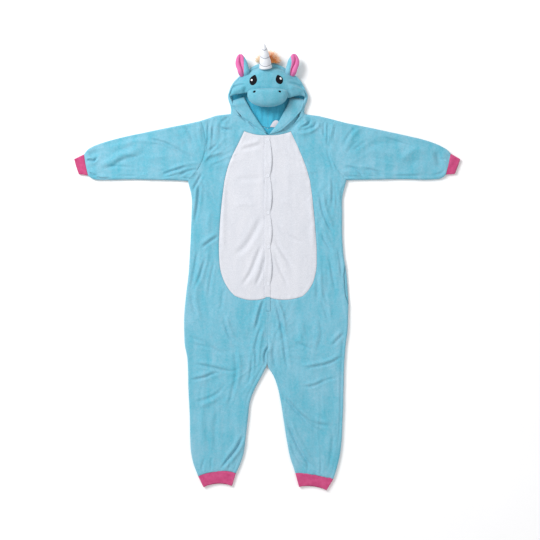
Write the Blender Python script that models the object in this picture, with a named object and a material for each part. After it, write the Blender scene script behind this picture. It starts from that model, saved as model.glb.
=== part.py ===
"""Child's unicorn onesie in fleece, laid out flat on its back.

Frame: z = 0 is the table, +Z points out of the garment's front, +Y towards the hood and +X
towards the wearer's left.  The tables hold millimetres; meshes are made in metres.

The back panels lie on the table and the fronts lie on them.  Every cloth piece is a wall with an
outer and an inner face.  Neighbouring pieces stand SEAM_GAP apart where they are sewn together.
"""
import math
import random
from collections import namedtuple

import bmesh
import bpy
from mathutils import Matrix, Vector

# ---------------------------------------------------------------- driving sizes, millimetres
MM = 0.001
CLOTH = 3.0             # fleece wall
SEAM_GAP = 0.3          # between pieces that are sewn together
FLAT_TOP = 9.5          # outer face of the fronts above the table
MID = FLAT_TOP / 2      # height of the side seams
EDGE_DROP = 1.6         # how far a free edge eases towards the side seam
EDGE_FADE = 5.0         # width over which it eases
LOWEST_TOP = 7.2        # a trough in the front never goes lower than this
CENTRE_X = 3.0          # centre front
ROW_SPACING = 42.0      # longest step between two rows of a front
BACK_SPACING = 75.0     # the same for a back, which is plain
EDGE_STEPS = (0.0, 4.0, 14.0)           # columns beside a panel's edge
PLACKET_THICK = 2.5
SNAP_RADIUS = 5.0
SNAP_HEIGHT = 1.8
RIB_DEPTH = 0.9
HORN_RADIUS = 19.5
HORN_LENGTH = 74.0
HORN_TILT = math.radians(21.0)
SEED = 11
ORIGIN_SHIFT = (-0.5, 5.75, 0.0)     # puts the origin under the middle of the whole garment

BLUE = (0.175, 0.505, 0.640)
WHITE = (0.800, 0.810, 0.830)
RIB_PINK = (0.640, 0.085, 0.290)
EAR_PINK = (0.830, 0.160, 0.460)
ORANGE = (0.890, 0.210, 0.035)
CREAM = (0.860, 0.760, 0.520)
BLACK = (0.012, 0.012, 0.016)

# ---------------------------------------------------------------- tables
# Armhole: the fractions from shoulder to armpit that the body rows and the sleeve rings share.
ARMHOLE_STEPS = (0.0, 0.01, 0.03, 0.08, 0.14, 0.20, 0.28, 0.36, 0.50, 0.64, 0.80, 0.92,
                 0.97, 0.99, 1.0)
BELLY_TOP = ARMHOLE_STEPS.index(0.36)

# Rows of a front between shoulder and armpit, one for each armhole fraction.
# centre_* runs down the neckline and centre front, panel_* down the line of the belly's edge.
TopRow = namedtuple("TopRow", "centre_x centre_y panel_x panel_y sag")
TOP_RIGHT = (
    TopRow(-106, 455, -152, 453.5, 0), TopRow(-103.5, 454.6, -151, 451.5, 0),
    TopRow(-99, 453.8, -149, 448, 0), TopRow(-86, 451, -141, 440, 0),
    TopRow(-70, 444, -126, 431, 0), TopRow(-54, 434, -108, 423, 2),
    TopRow(-30, 415, -86, 414, 4), TopRow(3, 395, -68, 407, 4.5),
    TopRow(3, 370, -86, 370, 0), TopRow(3, 338, -102, 338, 0),
    TopRow(3, 300, -117, 300, 0), TopRow(3, 275, -124, 275, 0),
    TopRow(3, 265, -126, 265, 0), TopRow(3, 260.5, -127, 260.5, 0),
    TopRow(3, 258, -127.5, 258, 0),
)
TOP_LEFT = (
    TopRow(112, 453, 156, 452, 0), TopRow(110, 452, 155, 450, 0),
    TopRow(106, 450, 153, 447, 0), TopRow(95, 444, 144, 439, 0),
    TopRow(79, 434, 128, 431, 0), TopRow(60, 420, 110, 423, 2),
    TopRow(37, 404, 90, 414, 3), TopRow(3, 395, 71, 406, 4),
    TopRow(3, 370, 88, 370, 0), TopRow(3, 338, 102, 338, 0),
    TopRow(3, 300, 117, 300, 0), TopRow(3, 275, 124, 275, 0),
    TopRow(3, 265, 127, 265, 0), TopRow(3, 260.5, 128, 260.5, 0),
    TopRow(3, 258, 129, 258, 0),
)

# Rows below the armpit.  centre_* is the centre front, then the inseam; side_* the side seam.
LowRow = namedtuple("LowRow", "centre_x centre_y panel_x panel_y side_x side_y sag")
LOW_RIGHT = (
    LowRow(3, 216, -133, 216, -226, 212, 0),
    LowRow(3, 160, -139, 160, -226, 158, 0),
    LowRow(3, 100, -143, 100, -228, 100, 0),
    LowRow(3, 40, -144, 42, -231, 40, 0),
    LowRow(3, -20, -138, -16, -235, -22, 0),
    LowRow(3, -60, -122, -55, -241, -72, 4),
    LowRow(3, -91, -98, -85, -245, -108, 11),
    LowRow(3, -118, -116, -124, -248, -145, 4),
    LowRow(3, -160, -122, -172, -248, -195, 0),
    LowRow(2, -205, -122, -218, -246, -235, 0),
    LowRow(1, -250, -121, -262, -239, -270, 0),
    LowRow(0, -285, -120, -296, -237, -300, 0),
    LowRow(-3, -301, -122, -322, -236, -328, 0),
    LowRow(-17, -328, -128, -345, -236, -350, 0),
    LowRow(-35, -362, -137, -374, -235, -378, 0),
    LowRow(-50, -400, -143, -406, -233, -410, 0),
    LowRow(-57, -451, -146, -455, -231, -456, 0),
    LowRow(-64, -513, -149, -513, -230, -512, 0),
    LowRow(-71, -561, -150, -560, -227, -558, 0),
    LowRow(-82, -594, -150, -590, -219, -593, 0),
    LowRow(-93, -618, -148, -612, -206, -627, 0),
)
LOW_LEFT = (
    LowRow(3, 216, 135, 216, 226, 212, 0),
    LowRow(3, 160, 141, 160, 225, 158, 0),
    LowRow(3, 100, 146, 100, 225, 98, 0),
    LowRow(3, 40, 149, 42, 229, 38, 0),
    LowRow(3, -20, 146, -18, 238, -20, 0),
    LowRow(3, -60, 131, -60, 242, -72, 4),
    LowRow(3, -91, 106, -88, 244, -107, 9),
    LowRow(3, -118, 120, -128, 243, -150, 4),
    LowRow(3, -160, 123, -172, 241, -195, 0),
    LowRow(2, -205, 123, -220, 236, -232, 0),
    LowRow(1, -250, 122, -262, 233, -268, 0),
    LowRow(0, -285, 121, -295, 231, -300, 0),
    LowRow(3, -301, 124, -322, 230, -328, 0),
    LowRow(18, -323, 130, -345, 230, -350, 0),
    LowRow(32, -360, 137, -375, 229, -378, 0),
    LowRow(41, -403, 142, -408, 228.5, -410, 0),
    LowRow(51, -466, 146, -466, 226, -466, 0),
    LowRow(60, -523, 148, -523, 223, -523, 0),
    LowRow(70, -572, 146, -568, 217, -570, 0),
    LowRow(80, -602, 144, -600, 208, -606, 0),
    LowRow(85, -618, 141, -622, 199, -635, 0),
)
BELLY_BOTTOM_LOW = 6        # the low row that is the belly's lower edge
CROTCH_LOW = 12             # the low row where the inseam starts

# Sections of a tube of cloth: its upper (or outer) edge a, its lower (or inner) edge b, and how
# far the section line bulges sideways between them.
Section = namedtuple("Section", "ax ay bx by bulge")
SLEEVE_RIGHT = (
    Section(-198, 438, -237, 258, 31.5),
    Section(-228, 431, -262, 259, 15),
    Section(-273, 422, -302, 260.5, 4),
    Section(-318, 413, -338, 261, 1),
    Section(-370, 402, -382, 262, 0),
    Section(-425, 390.5, -430, 262, 0),
    Section(-477, 377, -474, 261, 0),
    Section(-505, 368, -499, 261, 0),
    Section(-526, 359, -517, 262.5, -1),
    Section(-539, 350, -528, 267, -1),
    Section(-548, 338, -536, 274, -1),
)
SLEEVE_LEFT = (
    Section(201, 441, 238, 260, -32),
    Section(231, 433, 265, 261, -15),
    Section(275, 424, 304, 261.5, -4),
    Section(319, 415, 339, 262, -1),
    Section(370, 404, 381, 263, 0),
    Section(425, 392, 428, 263, 0),
    Section(477, 379, 473, 261.5, 0),
    Section(506, 369, 499, 262.5, 0),
    Section(527, 359, 519, 265, 1),
    Section(541, 350, 529, 270, 1),
    Section(550, 340, 535, 276, 1),
)
WRIST_CUFF_RIGHT = (
    Section(-549, 337, -537, 275, -1), Section(-578, 323, -564, 278, -1),
)
WRIST_CUFF_LEFT = (
    Section(551, 339, 536, 277, 1), Section(579, 323, 563, 279, 1),
)
ANKLE_CUFF_RIGHT = (
    Section(-93, -618, -206, -627, -10.5), Section(-105, -656, -190, -660, -8),
)
ANKLE_CUFF_LEFT = (
    Section(85, -618, 199, -635, 4.5), Section(96, -659, 178, -669, 6),
)
WRIST_RIBS = 22
ANKLE_RIBS = 38

# Folds of the fronts and sleeves: soft ridges (height above zero) and troughs (below zero).
Fold = namedtuple("Fold", "x0 y0 x1 y1 half_width height")
FOLDS = (
    Fold(147, 441, 128, 417, 10, 3.5), Fold(128, 417, 72, 407, 9, 3.2),
    Fold(118, 447, 106, 424, 9, -1.8), Fold(165, 440, 168, 395, 12, 2.2),
    Fold(-117, 450, -137, 432, 9, -1.8), Fold(-137, 428, -108, 414, 10, 2.8),
    Fold(-186, 430, -188, 345, 12, 2.4), Fold(-164, 440, -168, 372, 10, 2.0),
    Fold(-243, 420, -215, 356, 12, -1.8), Fold(-262, 405, -238, 345, 13, 2.4),
    Fold(255, 415, 226, 358, 12, -1.8), Fold(275, 402, 246, 350, 13, 2.6),
    Fold(-309, 278, -250, 292, 10, 2.6), Fold(-225, 285, -262, 272, 9, -1.6),
    Fold(264, 284, 290, 270, 9, -1.6), Fold(300, 290, 345, 274, 10, 2.6),
    Fold(-501, 306, -366, 351, 16, 2.0), Fold(-536, 322, -500, 332, 10, -2.0),
    Fold(522, 326, 534, 284, 9, -1.8), Fold(505, 345, 515, 290, 11, 2.2),
    Fold(400, 360, 470, 300, 16, 1.8),
    Fold(-200, 60, -150, 92, 13, 2.4), Fold(165, 205, 196, 108, 14, 2.4),
    Fold(147, -24, 178, -146, 14, 2.4), Fold(-190, -60, -175, -170, 16, 2.2),
    Fold(-20, 150, -82, 50, 12, 2.0), Fold(-24, 84, -66, -50, 12, 1.8),
    Fold(39, 114, 92, 80, 12, 2.0), Fold(26, 78, 72, 4, 12, 1.8),
    Fold(-84, 352, -30, 366, 11, 1.6),
    Fold(-22, -160, -50, -282, 11, 2.6), Fold(-9, -170, -40, -330, 9, -1.8),
    Fold(32, -150, 62, -296, 11, 2.6), Fold(18, -240, 34, -330, 9, -1.8),
    Fold(-180, -302, -108, -312, 13, 2.6), Fold(-204, -334, -134, -328, 12, -1.8),
    Fold(-66, -486, -146, -610, 14, 3.0), Fold(-100, -470, -190, -570, 16, 2.0),
    Fold(39, -388, 132, -496, 14, 2.8), Fold(48, -462, 134, -606, 13, 2.6),
    Fold(87, -228, 138, -248, 12, 2.0), Fold(158, -290, 216, -262, 12, 2.4),
    Fold(118, -352, 176, -336, 12, 2.2), Fold(160, -420, 190, -560, 16, 2.0),
)

# Sections of one half of the hood.  Each starts on the centre back seam at height back_y, runs
# out on the table to the outline edge_*, and turns up and back in to top_*, at height top_z.
HoodRow = namedtuple("HoodRow", "back_y edge_x edge_y top_x top_y top_z")
HOOD_RIGHT = (
    HoodRow(416, -108, 457, -88, 454.5, 12), HoodRow(438, -108, 470, -94, 467, 14),
    HoodRow(458, -111, 485, -100, 480, 15.5), HoodRow(476, -115, 500, -105, 495, 16.5),
    HoodRow(492, -116, 513, -105, 511, 21), HoodRow(507, -112, 527, -101, 524, 23),
    HoodRow(520, -106, 541, -95, 536, 24), HoodRow(532, -96, 556, -86, 549, 23),
    HoodRow(544, -83, 569, -75, 560, 20), HoodRow(556, -62, 582, -57, 573, 18),
    HoodRow(566, -47, 593, -42, 584, 15), HoodRow(574, -26, 603, -24, 593, 13),
    HoodRow(580, 3, 607, 3, 594, 13),
)
HOOD_LEFT = (
    HoodRow(416, 113, 456, 99, 449, 12), HoodRow(438, 112, 468, 103, 464, 14),
    HoodRow(458, 115, 484, 106, 480, 15.5), HoodRow(476, 122, 498, 112, 494, 16.5),
    HoodRow(492, 122, 511, 111, 510, 21), HoodRow(507, 117, 525, 106, 522, 23),
    HoodRow(520, 110, 540, 99, 535, 24), HoodRow(532, 102, 554, 92, 547, 23),
    HoodRow(544, 90, 568, 82, 559, 20), HoodRow(556, 66, 582, 61, 573, 18),
    HoodRow(566, 50, 592, 45, 583, 15), HoodRow(574, 26, 603, 24, 593, 13),
    HoodRow(580, 3, 607, 3, 594, 13),
)
FIRST_FACE_ROW = 4          # hood sections from here up carry the face panel between them
HOOD_EDGE_POINT = 9         # the point of a section that lies on the hood's outline
# Vertical gathers inside the hood's back, from the neck seam up.
HOOD_GATHERS = (
    Fold(-22, 432, -26, 492, 9, 3.5), Fold(-58, 446, -54, 492, 10, 2.5),
    Fold(18, 462, 17, 496, 9, 3.0), Fold(43, 462, 46, 496, 9, 3.5),
)

# The hood's hem, from the V of the neck up to the corner of the opening.
HemRow = namedtuple("HemRow", "in_x in_y out_x out_y out_z")
HEM_RIGHT = (
    HemRow(-0.5, 400, -8, 403, 11), HemRow(-13, 417, -30.5, 417, 11.5),
    HemRow(-30, 438, -53.5, 436, 12), HemRow(-45, 462, -85.5, 453.5, 12),
    HemRow(-53, 481, -94.5, 472, 14.3), HemRow(-58, 497, -103.5, 494, 16.2),
    HemRow(-62, 510, -104, 508, 16.5),
)
HEM_LEFT = (
    HemRow(6.5, 399.5, 20, 401, 11), HemRow(16, 409, 37.5, 406, 11.5),
    HemRow(33, 431, 60.5, 422.5, 12), HemRow(43, 449, 79.5, 436.5, 12),
    HemRow(50, 465, 97, 449, 12), HemRow(57, 483, 104.5, 478, 15.3),
    HemRow(62, 497, 110.5, 494, 16.2), HemRow(66, 510, 109.5, 507, 16.5),
)
HEM_THICK = 5.0

# Face panel: the height and the middle of each row, mouth to crown, and the muzzle below it.
FaceRow = namedtuple("FaceRow", "middle_y middle_z")
FACE_ROWS = (
    FaceRow(533.5, 32), FaceRow(540, 34), FaceRow(548, 36), FaceRow(557, 38),
    FaceRow(566, 40), FaceRow(575, 42), FaceRow(582, 41), FaceRow(588, 30), FaceRow(593.7, 13.5),
)
FACE_COLUMNS = (-1.0, -0.86, -0.72, -0.60, -0.54, -0.42, -0.22, 0.0,
                0.22, 0.42, 0.54, 0.60, 0.72, 0.86, 1.0)
MUZZLE_CENTRE = Vector((1.5, 510.0, 38.0))
MUZZLE_HALF = Vector((59.5, 22.5, 25.0))    # half width, depth above the middle, height
MUZZLE_DEPTH_BELOW = 33.0
MUZZLE_UNDER = 19.0

# Eyes and nostrils: plan centre, half sizes and the angle that the long way leans by.
Spot = namedtuple("Spot", "x y half_x half_y lean point")
EYES = (Spot(-39.5, 556, 11, 14.5, -0.18, 0.45), Spot(37.5, 557, 11, 14.5, 0.18, 0.45))
GLINTS = (Spot(-45.5, 556.5, 3.3, 3.3, 0, 0), Spot(40.5, 560, 3.3, 3.3, 0, 0))
NOSTRILS = (Spot(-37, 520, 4.6, 3.4, 0.4, 0), Spot(38, 520, 4.2, 3.2, -0.3, 0))
SPOT_THICK = 1.2

# Ears: sections from the base to the tip, and the folded path across one section.
EarRow = namedtuple("EarRow", "y centre_x width lift")
EAR_RIGHT = (
    EarRow(566, -70, 0.60, 25.0), EarRow(578, -72, 0.80, 24.0), EarRow(593, -74, 0.97, 22.5),
    EarRow(608, -76, 1.0, 21.5), EarRow(621, -78, 0.84, 21.5), EarRow(629.5, -79.5, 0.58, 22.5),
    EarRow(634.5, -80.5, 0.30, 24.0),
)
EAR_LEFT = (
    EarRow(571, 75, 0.60, 25.0), EarRow(581, 77, 0.80, 24.0), EarRow(595, 78.5, 0.97, 22.5),
    EarRow(609, 79, 1.0, 21.5), EarRow(621.5, 79, 0.84, 21.5), EarRow(630, 78.5, 0.58, 22.5),
    EarRow(635, 78, 0.30, 24.0),
)
EarPoint = namedtuple("EarPoint", "across up")
EAR_PATH = (
    EarPoint(17, 4), EarPoint(10, 1), EarPoint(0, 0), EarPoint(-8, 1), EarPoint(-14, 5),
    EarPoint(-16.5, 10), EarPoint(-14, 14.5), EarPoint(-7, 16.5), EarPoint(-1, 16.5),
)
EAR_PINK_POINTS = 5         # the pink lies on the path's first points
EAR_CLOTH = 2.5
PINK_CLOTH = 1.5

SNAPS = ((3.0, 381.0), (3.0, 273.0), (4.0, 162.0), (5.0, 60.0), (4.0, -51.0))
PLACKET_LEFT = -9.0
PLACKET_RIGHT = 9.5
SCALLOP = 5.5
PLACKET_TOP = 392.0
PLACKET_BOTTOM = -90.0
LOWER_PLACKET_BOTTOM = -132.0

HORN_BASE = Vector((-4.0, 588.5, 32.2))
HORN_TURN = math.radians(3.0)           # towards the wearer's right
HORN_SIDES = 16
HORN_RINGS = (0.0, 0.27, 0.52, 0.76)    # where each thread ring starts, as a share of the length
HORN_WAIST = ((0.0, 0.91), (0.08, 1.02), (0.18, 0.99))   # share past a ring, and the swell there

LockBed = namedtuple("LockBed", "x0 x1 columns layers angle0 angle1 length0 length1")
MANE_BEDS = {
    "mane_orange": LockBed(1.5, 25.5, 9, 3, 84, 8, 44, 24),
    "mane_cream": LockBed(-25.5, -1.0, 7, 2, 170, 100, 18, 42),
}
MANE_Y = (608.6, 613.0)
MANE_Z = (3.0, 11.0)

POCKET_TOP = 4.0            # pocket opening in the wearer's left side seam
POCKET_BOTTOM = -112.0
POCKET_SET_BACK = 8.0


# ---------------------------------------------------------------- scene and materials
def clear_scene():
    for obj in list(bpy.data.objects):
        bpy.data.objects.remove(obj, do_unlink=True)


def new_collection(name):
    collection = bpy.data.collections.new(name)
    bpy.context.scene.collection.children.link(collection)
    return collection


def cloth_material(name, colour, roughness=0.95):
    material = bpy.data.materials.new(name)
    material.use_nodes = True
    shader = material.node_tree.nodes["Principled BSDF"]
    shader.inputs["Base Color"].default_value = (*colour, 1.0)
    shader.inputs["Roughness"].default_value = roughness
    shader.inputs["Metallic"].default_value = 0.0
    return material


def add_object(name, mesh_data, material, smooth=True):
    mesh = bpy.data.meshes.new(name)
    mesh_data.to_mesh(mesh)
    mesh_data.free()
    if smooth:
        mesh.shade_smooth()
        mesh.set_sharp_from_angle(angle=math.radians(40))
    mesh.materials.append(material)
    obj = bpy.data.objects.new(name, mesh)
    GARMENT.objects.link(obj)
    return obj


# ---------------------------------------------------------------- small geometry
def clamp(value, low=0.0, high=1.0):
    return max(low, min(high, value))


def ease(value):
    value = clamp(value)
    return value * value * (3.0 - 2.0 * value)


def mix(a, b, t):
    return a + (b - a) * t


def catmull(a, b, c, d, t):
    """A smooth value between b and c, which lie between a and d."""
    return 0.5 * (2 * b + (c - a) * t + (2 * a - 5 * b + 4 * c - d) * t * t
                  + (3 * b - a - 3 * c + d) * t ** 3)


def subdivide_rows(rows, kind, spacing):
    """Add smooth rows to a table wherever two rows lie further apart than spacing."""
    result = []
    last = len(rows) - 1
    for index in range(last):
        quad = [rows[clamp(index + step, 0, last)] for step in (-1, 0, 1, 2)]
        length = abs(quad[1].side_y - quad[2].side_y)
        count = max(1, math.ceil(length / spacing))
        for step in range(count):
            columns = zip(*quad)
            result.append(kind(*(catmull(*column, step / count) for column in columns)))
    result.append(rows[last])
    return result


def fold_height(x, y, folds):
    """Sum of the folds at a point: each is a soft ridge that fades at its ends."""
    total = 0.0
    for fold in folds:
        along = Vector((fold.x1 - fold.x0, fold.y1 - fold.y0))
        place = Vector((x - fold.x0, y - fold.y0))
        share = clamp(place.dot(along) / along.length_squared)
        distance = (place - along * share).length
        if distance < 3.0 * fold.half_width:
            ends = 0.35 + 0.65 * math.sin(math.pi * share)
            total += fold.height * ends * math.exp(-(distance / fold.half_width) ** 2)
    return total


def front_height(x, y):
    """Outer face of the fronts and sleeves: folds, but a plain strip under the placket."""
    plain = 1.0
    if LOWER_PLACKET_BOTTOM - 20 < y < PLACKET_TOP + 8:
        plain = ease((abs(x - CENTRE_X) - 16.0) / 18.0)
    return max(LOWEST_TOP, FLAT_TOP + plain * fold_height(x, y, FOLDS))


def edge_drop(distance):
    """How far a wall eases towards the side seam, at a distance from its free edge."""
    if distance >= EDGE_STEPS[-1]:
        return 0.0
    return EDGE_DROP * math.exp(-(distance / EDGE_FADE) ** 1.3)


def wall(name, outer, inner, material, keep=None, ring=False):
    """A closed wall between two grids of points, over the cells that keep allows."""
    rows = len(outer)
    columns = len(outer[0])
    mesh_data = bmesh.new()
    made = {}

    def vertex(side, row, column):
        key = (side, row, column % columns)
        if key not in made:
            grid = inner if side else outer
            made[key] = mesh_data.verts.new(Vector(grid[row][column % columns]) * MM)
        return made[key]

    edges = {}
    for row in range(rows - 1):
        for column in range(columns if ring else columns - 1):
            if keep and not keep(row, column):
                continue
            corners = [(row, column), (row, column + 1), (row + 1, column + 1), (row + 1, column)]
            corners = [(r, c % columns) for r, c in corners]
            mesh_data.faces.new([vertex(0, *corner) for corner in corners])
            mesh_data.faces.new([vertex(1, *corner) for corner in reversed(corners)])
            for start, end in zip(corners, corners[1:] + corners[:1]):
                edges[(start, end)] = edges.get((end, start), 0) == 0
                if (end, start) in edges:
                    edges[(end, start)] = edges[(start, end)] = False
    for (start, end), on_rim in edges.items():
        if on_rim:
            mesh_data.faces.new([vertex(0, *end), vertex(0, *start),
                                 vertex(1, *start), vertex(1, *end)])
    bmesh.ops.recalc_face_normals(mesh_data, faces=mesh_data.faces)
    return add_object(name, mesh_data, material)


# ---------------------------------------------------------------- body panels
def section_point(section, share, shift=0.0):
    """A plan point of a section line that bulges sideways; shift moves it square to the line."""
    line = Vector((section.bx - section.ax, section.by - section.ay))
    normal = Vector((-line.y, line.x)).normalized()
    bulge = 4.0 * section.bulge * share * (1.0 - share)
    point = Vector((section.ax, section.ay)) + line * share + normal * (bulge + shift)
    return point.x, point.y


def body_rows(top_rows, low_rows, armhole, spacing):
    """All rows of a panel, shoulder to ankle, with the belly's last row and the crotch row."""
    upper = []
    for share, row in zip(ARMHOLE_STEPS, top_rows):
        side = section_point(armhole, share)
        upper.append(LowRow(row.centre_x, row.centre_y, row.panel_x, row.panel_y, *side, row.sag))
    hip = subdivide_rows([upper[-1]] + list(low_rows[:BELLY_BOTTOM_LOW + 1]), LowRow, spacing)
    seat = subdivide_rows(low_rows[BELLY_BOTTOM_LOW:CROTCH_LOW + 1], LowRow, spacing)
    leg = subdivide_rows(low_rows[CROTCH_LOW:], LowRow, spacing)
    rows = upper[:-1] + hip[:-1] + seat[:-1] + leg
    belly_bottom = len(upper) - 1 + len(hip) - 1
    crotch = belly_bottom + len(seat) - 1
    return rows, belly_bottom, crotch


def strip_steps(length, inner_count):
    """Distances along a strip: EDGE_STEPS beside its outer edge, then even steps."""
    scale = min(1.0, length / (4.0 * EDGE_STEPS[-1]))
    near = [step * scale for step in EDGE_STEPS]
    rest = [mix(near[-1], length, (i + 1) / inner_count) for i in range(inner_count)]
    return near + rest


def row_points(row):
    """Plan points of one row, centre to side, with the distance to each end of the row."""
    centre = Vector((row.centre_x, row.centre_y))
    panel = Vector((row.panel_x, row.panel_y))
    side = Vector((row.side_x, row.side_y))
    inner_length = (panel - centre).length
    outer_length = (side - panel).length
    points = []
    for step in strip_steps(inner_length, 3):
        share = step / inner_length
        point = centre.lerp(panel, share)
        point.y -= row.sag * 4.0 * share * (1.0 - share)
        points.append((point, step, inner_length + outer_length - step))
    for step in reversed(strip_steps(outer_length, 4)[:-1]):
        point = side.lerp(panel, step / outer_length)
        points.append((point, inner_length + outer_length - step, step))
    return points


PANEL_COLUMN = len(EDGE_STEPS) + 2          # the column on the belly's edge
ARMPIT_ROW = len(ARMHOLE_STEPS) - 1


def shoulder_distance(row_index, rows, column_share):
    """How far a row lies below the shoulder seam."""
    first, row = rows[0], rows[row_index]
    return mix(first.centre_y - row.centre_y, first.side_y - row.side_y, column_share)


def ankle_point(section, point, clear):
    """The point above the cuff's seam line that faces a point of the panel's last row."""
    share = clamp((point.x - section.ax) / (section.bx - section.ax))
    x, y = section_point(section, share)
    return Vector((x, y + clear))


def front_grids(rows, crotch, ankle, outward):
    """Outer and inner grids of a front, with free edges eased down to the side seams."""
    outer, inner = [], []
    for index, row in enumerate(rows):
        outer_row, inner_row = [], []
        for column, (point, from_centre, from_side) in enumerate(row_points(row)):
            drop = 0.0
            if index >= ARMPIT_ROW:
                drop += edge_drop(from_side)
            if index > crotch:
                drop += edge_drop(from_centre)
            if index < 4:
                drop = max(drop, edge_drop(shoulder_distance(index, rows, 1.0)))
            if index == len(rows) - 1:
                point = ankle_point(ankle, point, 2.0 * SEAM_GAP)
            height = front_height(point.x, point.y) - drop
            x = point.x
            if column == 0 and index <= crotch:
                x += outward * SEAM_GAP / 2
            outer_row.append((x, point.y, height))
            inner_row.append((x, point.y, height - CLOTH))
        outer.append(outer_row)
        inner.append(inner_row)
    return outer, inner


def belly_cell(belly_bottom):
    return lambda row, column: BELLY_TOP <= row < belly_bottom and column < PANEL_COLUMN


def belly_grids(outer, belly_bottom, outward):
    """The belly's part of a front's grids, drawn in by the seam gap along its outline."""
    rows_out, rows_in = [], []
    for index in range(BELLY_TOP, belly_bottom + 1):
        row = [Vector(point) for point in outer[index][:PANEL_COLUMN + 1]]
        row[-1].x -= outward * SEAM_GAP * 1.4
        for point in row:
            if index == BELLY_TOP:
                point.y -= SEAM_GAP * 1.2
            if index == belly_bottom:
                point.y += SEAM_GAP * 1.2
        rows_out.append([tuple(point) for point in row])
        rows_in.append([(point.x, point.y, point.z - CLOTH) for point in row])
    return rows_out, rows_in


def make_front(side, rows, belly_bottom, crotch, ankle, outward):
    outer, inner = front_grids(rows, crotch, ankle, outward)
    inside = belly_cell(belly_bottom)
    wall("front_" + side, outer, inner, FLEECE_BLUE, keep=lambda r, c: not inside(r, c))
    wall("belly_" + side, *belly_grids(outer, belly_bottom, outward), FLEECE_WHITE)


def back_centre(row, index, neck_end, neck_low):
    """The back's inner edge: a straight neckline from the shoulder, then the centre back."""
    last = BELLY_TOP - 1
    if index > last:
        return Vector((row.centre_x, row.centre_y))
    return neck_end.lerp(neck_low, index / last)


def make_back(side, rows, crotch, ankle, outward):
    """A back panel lies flat on the table and rises only at its free edges."""
    neck_end = Vector((rows[0].centre_x, rows[0].centre_y))
    neck_low = Vector((CENTRE_X, 415.0))
    outer, inner = [], []
    for index, row in enumerate(rows):
        centre = back_centre(row, index, neck_end, neck_low)
        side_point = Vector((row.side_x, row.side_y))
        length = (side_point - centre).length
        steps = list(EDGE_STEPS) + [length / 2] + [length - step for step in reversed(EDGE_STEPS)]
        outer_row, inner_row = [], []
        for column, step in enumerate(steps):
            point = centre.lerp(side_point, step / length)
            if index == len(rows) - 1:
                point = ankle_point(ankle, point, 7.0 * SEAM_GAP)
            rise = 0.0
            if index >= ARMPIT_ROW:
                rise += edge_drop(length - step)
            if index > crotch:
                rise += edge_drop(step)
            if index < 4:
                rise = max(rise, edge_drop(shoulder_distance(index, rows, 1.0)))
            x = point.x
            if column == 0 and BELLY_TOP - 1 <= index <= crotch:
                x += outward * SEAM_GAP / 2
            outer_row.append((x, point.y, rise))
            inner_row.append((x, point.y, rise + CLOTH))
        outer.append(outer_row)
        inner.append(inner_row)
    wall("back_" + side, outer, inner, FLEECE_BLUE)


# ---------------------------------------------------------------- sleeves and cuffs
def tube_point(section, share, upper, inset, shift):
    """One point of a flattened tube's section; inset 0 is its outer face, CLOTH its inner."""
    width = math.hypot(section.ax - section.bx, section.ay - section.by)
    distance = min(share, 1.0 - share) * width
    x, y = section_point(section, share, shift)
    push = inset * math.exp(-distance / 3.0)
    toward = 1.0 if share < 0.5 else -1.0
    x += toward * push * (section.bx - section.ax) / width
    y += toward * push * (section.by - section.ay) / width
    half = (MID - inset) * (1.0 - math.exp(-distance / 1.6))
    if upper:
        return x, y, MID + half + max(LOWEST_TOP - FLAT_TOP, front_height(x, y) - FLAT_TOP) \
            * ease(distance / 12.0)
    return x, y, MID - half


def tube_ring(section, steps, inset, shift):
    top = [tube_point(section, share, True, inset, shift) for share in steps]
    bottom = [tube_point(section, share, False, inset, shift) for share in reversed(steps[1:-1])]
    return top + bottom


def make_sleeve(side, sections, outward):
    outer, inner = [], []
    for index, section in enumerate(sections):
        shift = outward * SEAM_GAP if index == 0 else 0.0
        outer.append(tube_ring(section, ARMHOLE_STEPS, 0.0, shift))
        inner.append(tube_ring(section, ARMHOLE_STEPS, CLOTH, shift))
    wall("sleeve_" + side, outer, inner, FLEECE_BLUE, ring=True)


def cuff_ring(section, ribs, inset, depth):
    """A flattened ribbed tube: every second point stands proud by the rib's depth."""
    width = math.hypot(section.ax - section.bx, section.ay - section.by)
    points = []
    for step in range(2 * ribs):
        upper = step < ribs
        share = (step if upper else 2 * ribs - step) / ribs
        rib = depth if step % 2 == 0 else 0.0
        distance = min(share, 1.0 - share) * width
        x, y = section_point(section, share)
        push = inset * math.exp(-distance / 3.0)
        toward = 1.0 if share < 0.5 else -1.0
        x += toward * push * (section.bx - section.ax) / width
        y += toward * push * (section.by - section.ay) / width
        half = (MID - inset - RIB_DEPTH + rib) * (1.0 - math.exp(-(distance + 0.2) / 1.8))
        if share in (0.0, 1.0):
            half = 0.0
        points.append((x, y, MID + half if upper else MID - half))
    return points


def make_cuff(name, sections, ribs):
    outer = [cuff_ring(section, ribs, 0.0, RIB_DEPTH) for section in sections]
    inner = [cuff_ring(section, ribs, CLOTH - RIB_DEPTH, 0.0) for section in sections]
    wall(name, outer, inner, RIB_KNIT, ring=True)


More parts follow.
